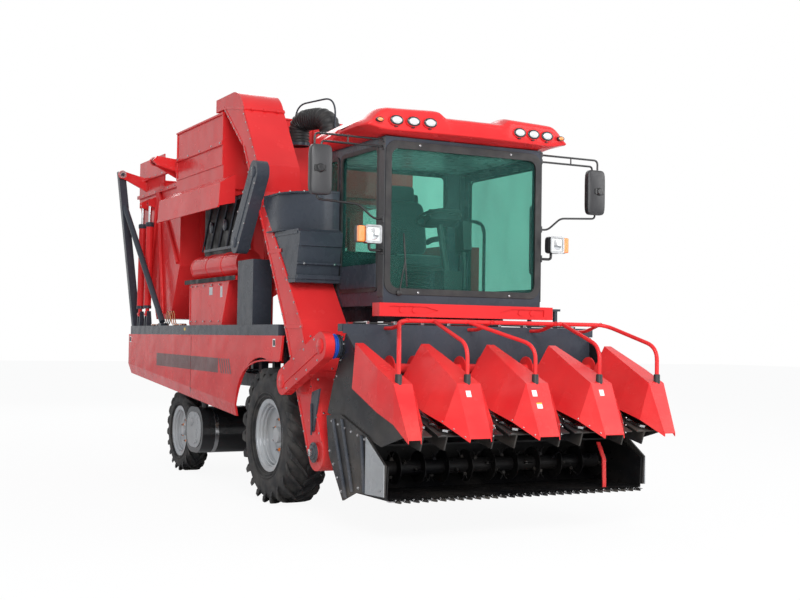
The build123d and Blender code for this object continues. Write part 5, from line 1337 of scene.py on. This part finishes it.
def make_roof():
    """Make the roof as one smooth shell: a crowned panel with a raised pod at each front corner."""
    form = bmesh.new()
    rings, count = [], 44
    for k in range(-count, count + 1):
        x = 1.0 * k / count
        t = abs(x)
        pod = ease(t, 0.26, 0.36) * (1 - 0.75 * ease(t, 0.86, 1.0))
        wing = ease(t, 0.8, 0.99)
        fall = 0.07 * max(0.0, t - 0.33) / 0.67
        front = -1.622 + fall
        top = 3.18 + 0.19 + 0.052 * pod - 0.085 * wing + 0.012 * (1 - t * t)
        low = 3.213 + 0.026 * wing
        rear = -0.015 - 0.93 * wing
        under = 3.182 + 0.055 * wing
        end = math.sqrt(max(0.0, 1 - (max(0.0, t - 0.965) / 0.035) ** 2))
        corners = [(front, low), (front - 0.016, top - 0.045), (front + 0.15, top),
            (front + 0.6, top - 0.012 - 0.03 * pod), (rear - 0.1, top - 0.075), (rear, under + 0.05),
            (rear - 0.02, under), (front + 0.2 + 0.02 * wing, under)]
        bends = (0.02, 0.05, 0.11, 0.25, 0.12, 0.03, 0.012, 0.02)
        outline = []
        for i, (corner, bend) in enumerate(zip(corners, bends)):
            here = Vector(corner)
            before, after = Vector(corners[i - 1]), Vector(corners[(i + 1) % len(corners)])
            into = here + (before - here).normalized() * min(bend, (before - here).length * 0.45)
            away = here + (after - here).normalized() * min(bend, (after - here).length * 0.45)
            for j in range(6):
                u = j / 5
                outline.append(into * (1 - u) ** 2 + here * 2 * u * (1 - u) + away * u * u)
        middle = sum(outline, Vector((0, 0))) / len(outline)
        outline = [middle + (p - middle) * (0.55 + 0.45 * end) for p in outline]
        rings.append([at(x, p.x, p.y) for p in outline])
    slab(form, *rings)
    piece("roof_shell", form, "red", sharp=50, replaces=["cab_roof"])
    recess = bmesh.new()
    for side in (-1, 1):
        for x in LAMP_XS:
            lathe(recess, [(0.056, 0.0), (0.066, 0.0), (0.072, 0.03), (0.056, 0.03)],
                  at(side * x, pod_front(x) - 0.052, LAMP_Z), BEHIND, 32)
    for vert in recess.verts:
        vert.co.z = LAMP_Z + (vert.co.z - LAMP_Z) * 0.68
    piece("lamp_recesses", recess, "red", sharp=50)


make_roof()


def make_roof_marker():
    """Make the small amber lamps at the roof's corners."""
    lens, base = bmesh.new(), bmesh.new()
    for side in (-1, 1):
        lamp(lens, base, at(side * 0.89, -1.596, 3.285), 0.03, 0.018, depth=0.016)
    piece("roof_side_lamps", lens, "amber", sharp=60)
    piece("roof_side_lamp_rims", base, "gloss", sharp=60)


make_roof_marker()


# Floor, world and lamps.
def make_studio():
    """Set a pale floor, a white world and soft area lamps round the machine."""
    mesh = bpy.data.meshes.new("floor")
    mesh.from_pydata([(-60, -60, 0), (60, -60, 0), (60, 60, 0), (-60, 60, 0)], [], [(0, 1, 2, 3)])
    floor = bpy.data.objects.new("floor", mesh)
    bpy.context.scene.collection.objects.link(floor)
    t = Tree("pale_floor")
    pale = t.add("ShaderNodeBsdfDiffuse")
    pale.inputs["Color"].default_value = (0.88, 0.88, 0.88, 1)
    white = t.add("ShaderNodeEmission")
    white.inputs["Strength"].default_value = 1.0
    ray = t.add("ShaderNodeLightPath")
    share = t.math("MULTIPLY", ray.outputs["Is Camera Ray"], 0.93)
    shader = t.add("ShaderNodeMixShader")
    t.join(share, shader.inputs["Fac"])
    t.join(pale.outputs[0], shader.inputs[1])
    t.join(white.outputs[0], shader.inputs[2])
    t.join(shader.outputs[0], t.out.inputs["Surface"])
    mesh.materials.append(t.material)

    world = bpy.data.worlds.new("studio")
    world.use_nodes = True
    bpy.context.scene.world = world
    tree = world.node_tree
    tree.nodes.clear()

    def background(colour, strength):
        node = tree.nodes.new("ShaderNodeBackground")
        node.inputs["Color"].default_value = colour
        node.inputs["Strength"].default_value = strength
        return node.outputs[0]

    def larger(first, second):
        node = tree.nodes.new("ShaderNodeMath")
        node.operation = "MAXIMUM"
        tree.links.new(first, node.inputs[0])
        tree.links.new(second, node.inputs[1])
        return node.outputs[0]

    ray = tree.nodes.new("ShaderNodeLightPath").outputs
    shown = larger(larger(ray["Is Camera Ray"], ray["Is Transmission Ray"]), ray["Is Glossy Ray"])
    mix = tree.nodes.new("ShaderNodeMixShader")
    for socket, source in enumerate((shown, background((0.9, 0.95, 1.0, 1), 0.55), background((1, 1, 1, 1), 1.0))):
        tree.links.new(source, mix.inputs[socket])
    tree.links.new(mix.outputs[0], tree.nodes.new("ShaderNodeOutputWorld").inputs["Surface"])

    lamps = (
        # name, place, aimed at, size, watts
        ("key", (-5, -13, 8), (0, 0, 1.5), 6, 1150),
        ("fill", (9, -8, 6), (0, 0, 1.5), 7, 500),
        ("back", (2, 12, 9), (0, 0, 2.0), 8, 500),
        ("low", (-1, -12, 2.4), (0, -2, 1.2), 5, 260),
    )
    for name, place, aim, size, watts in lamps:
        data = bpy.data.lights.new(name, "AREA")
        data.size = size
        data.energy = watts
        light = bpy.data.objects.new(name, data)
        light.location = place
        light.rotation_euler = (Vector(place) - Vector(aim)).to_track_quat("Z", "Y").to_euler()
        bpy.context.scene.collection.objects.link(light)
    bpy.context.scene.view_settings.view_transform = "Standard"


make_studio()
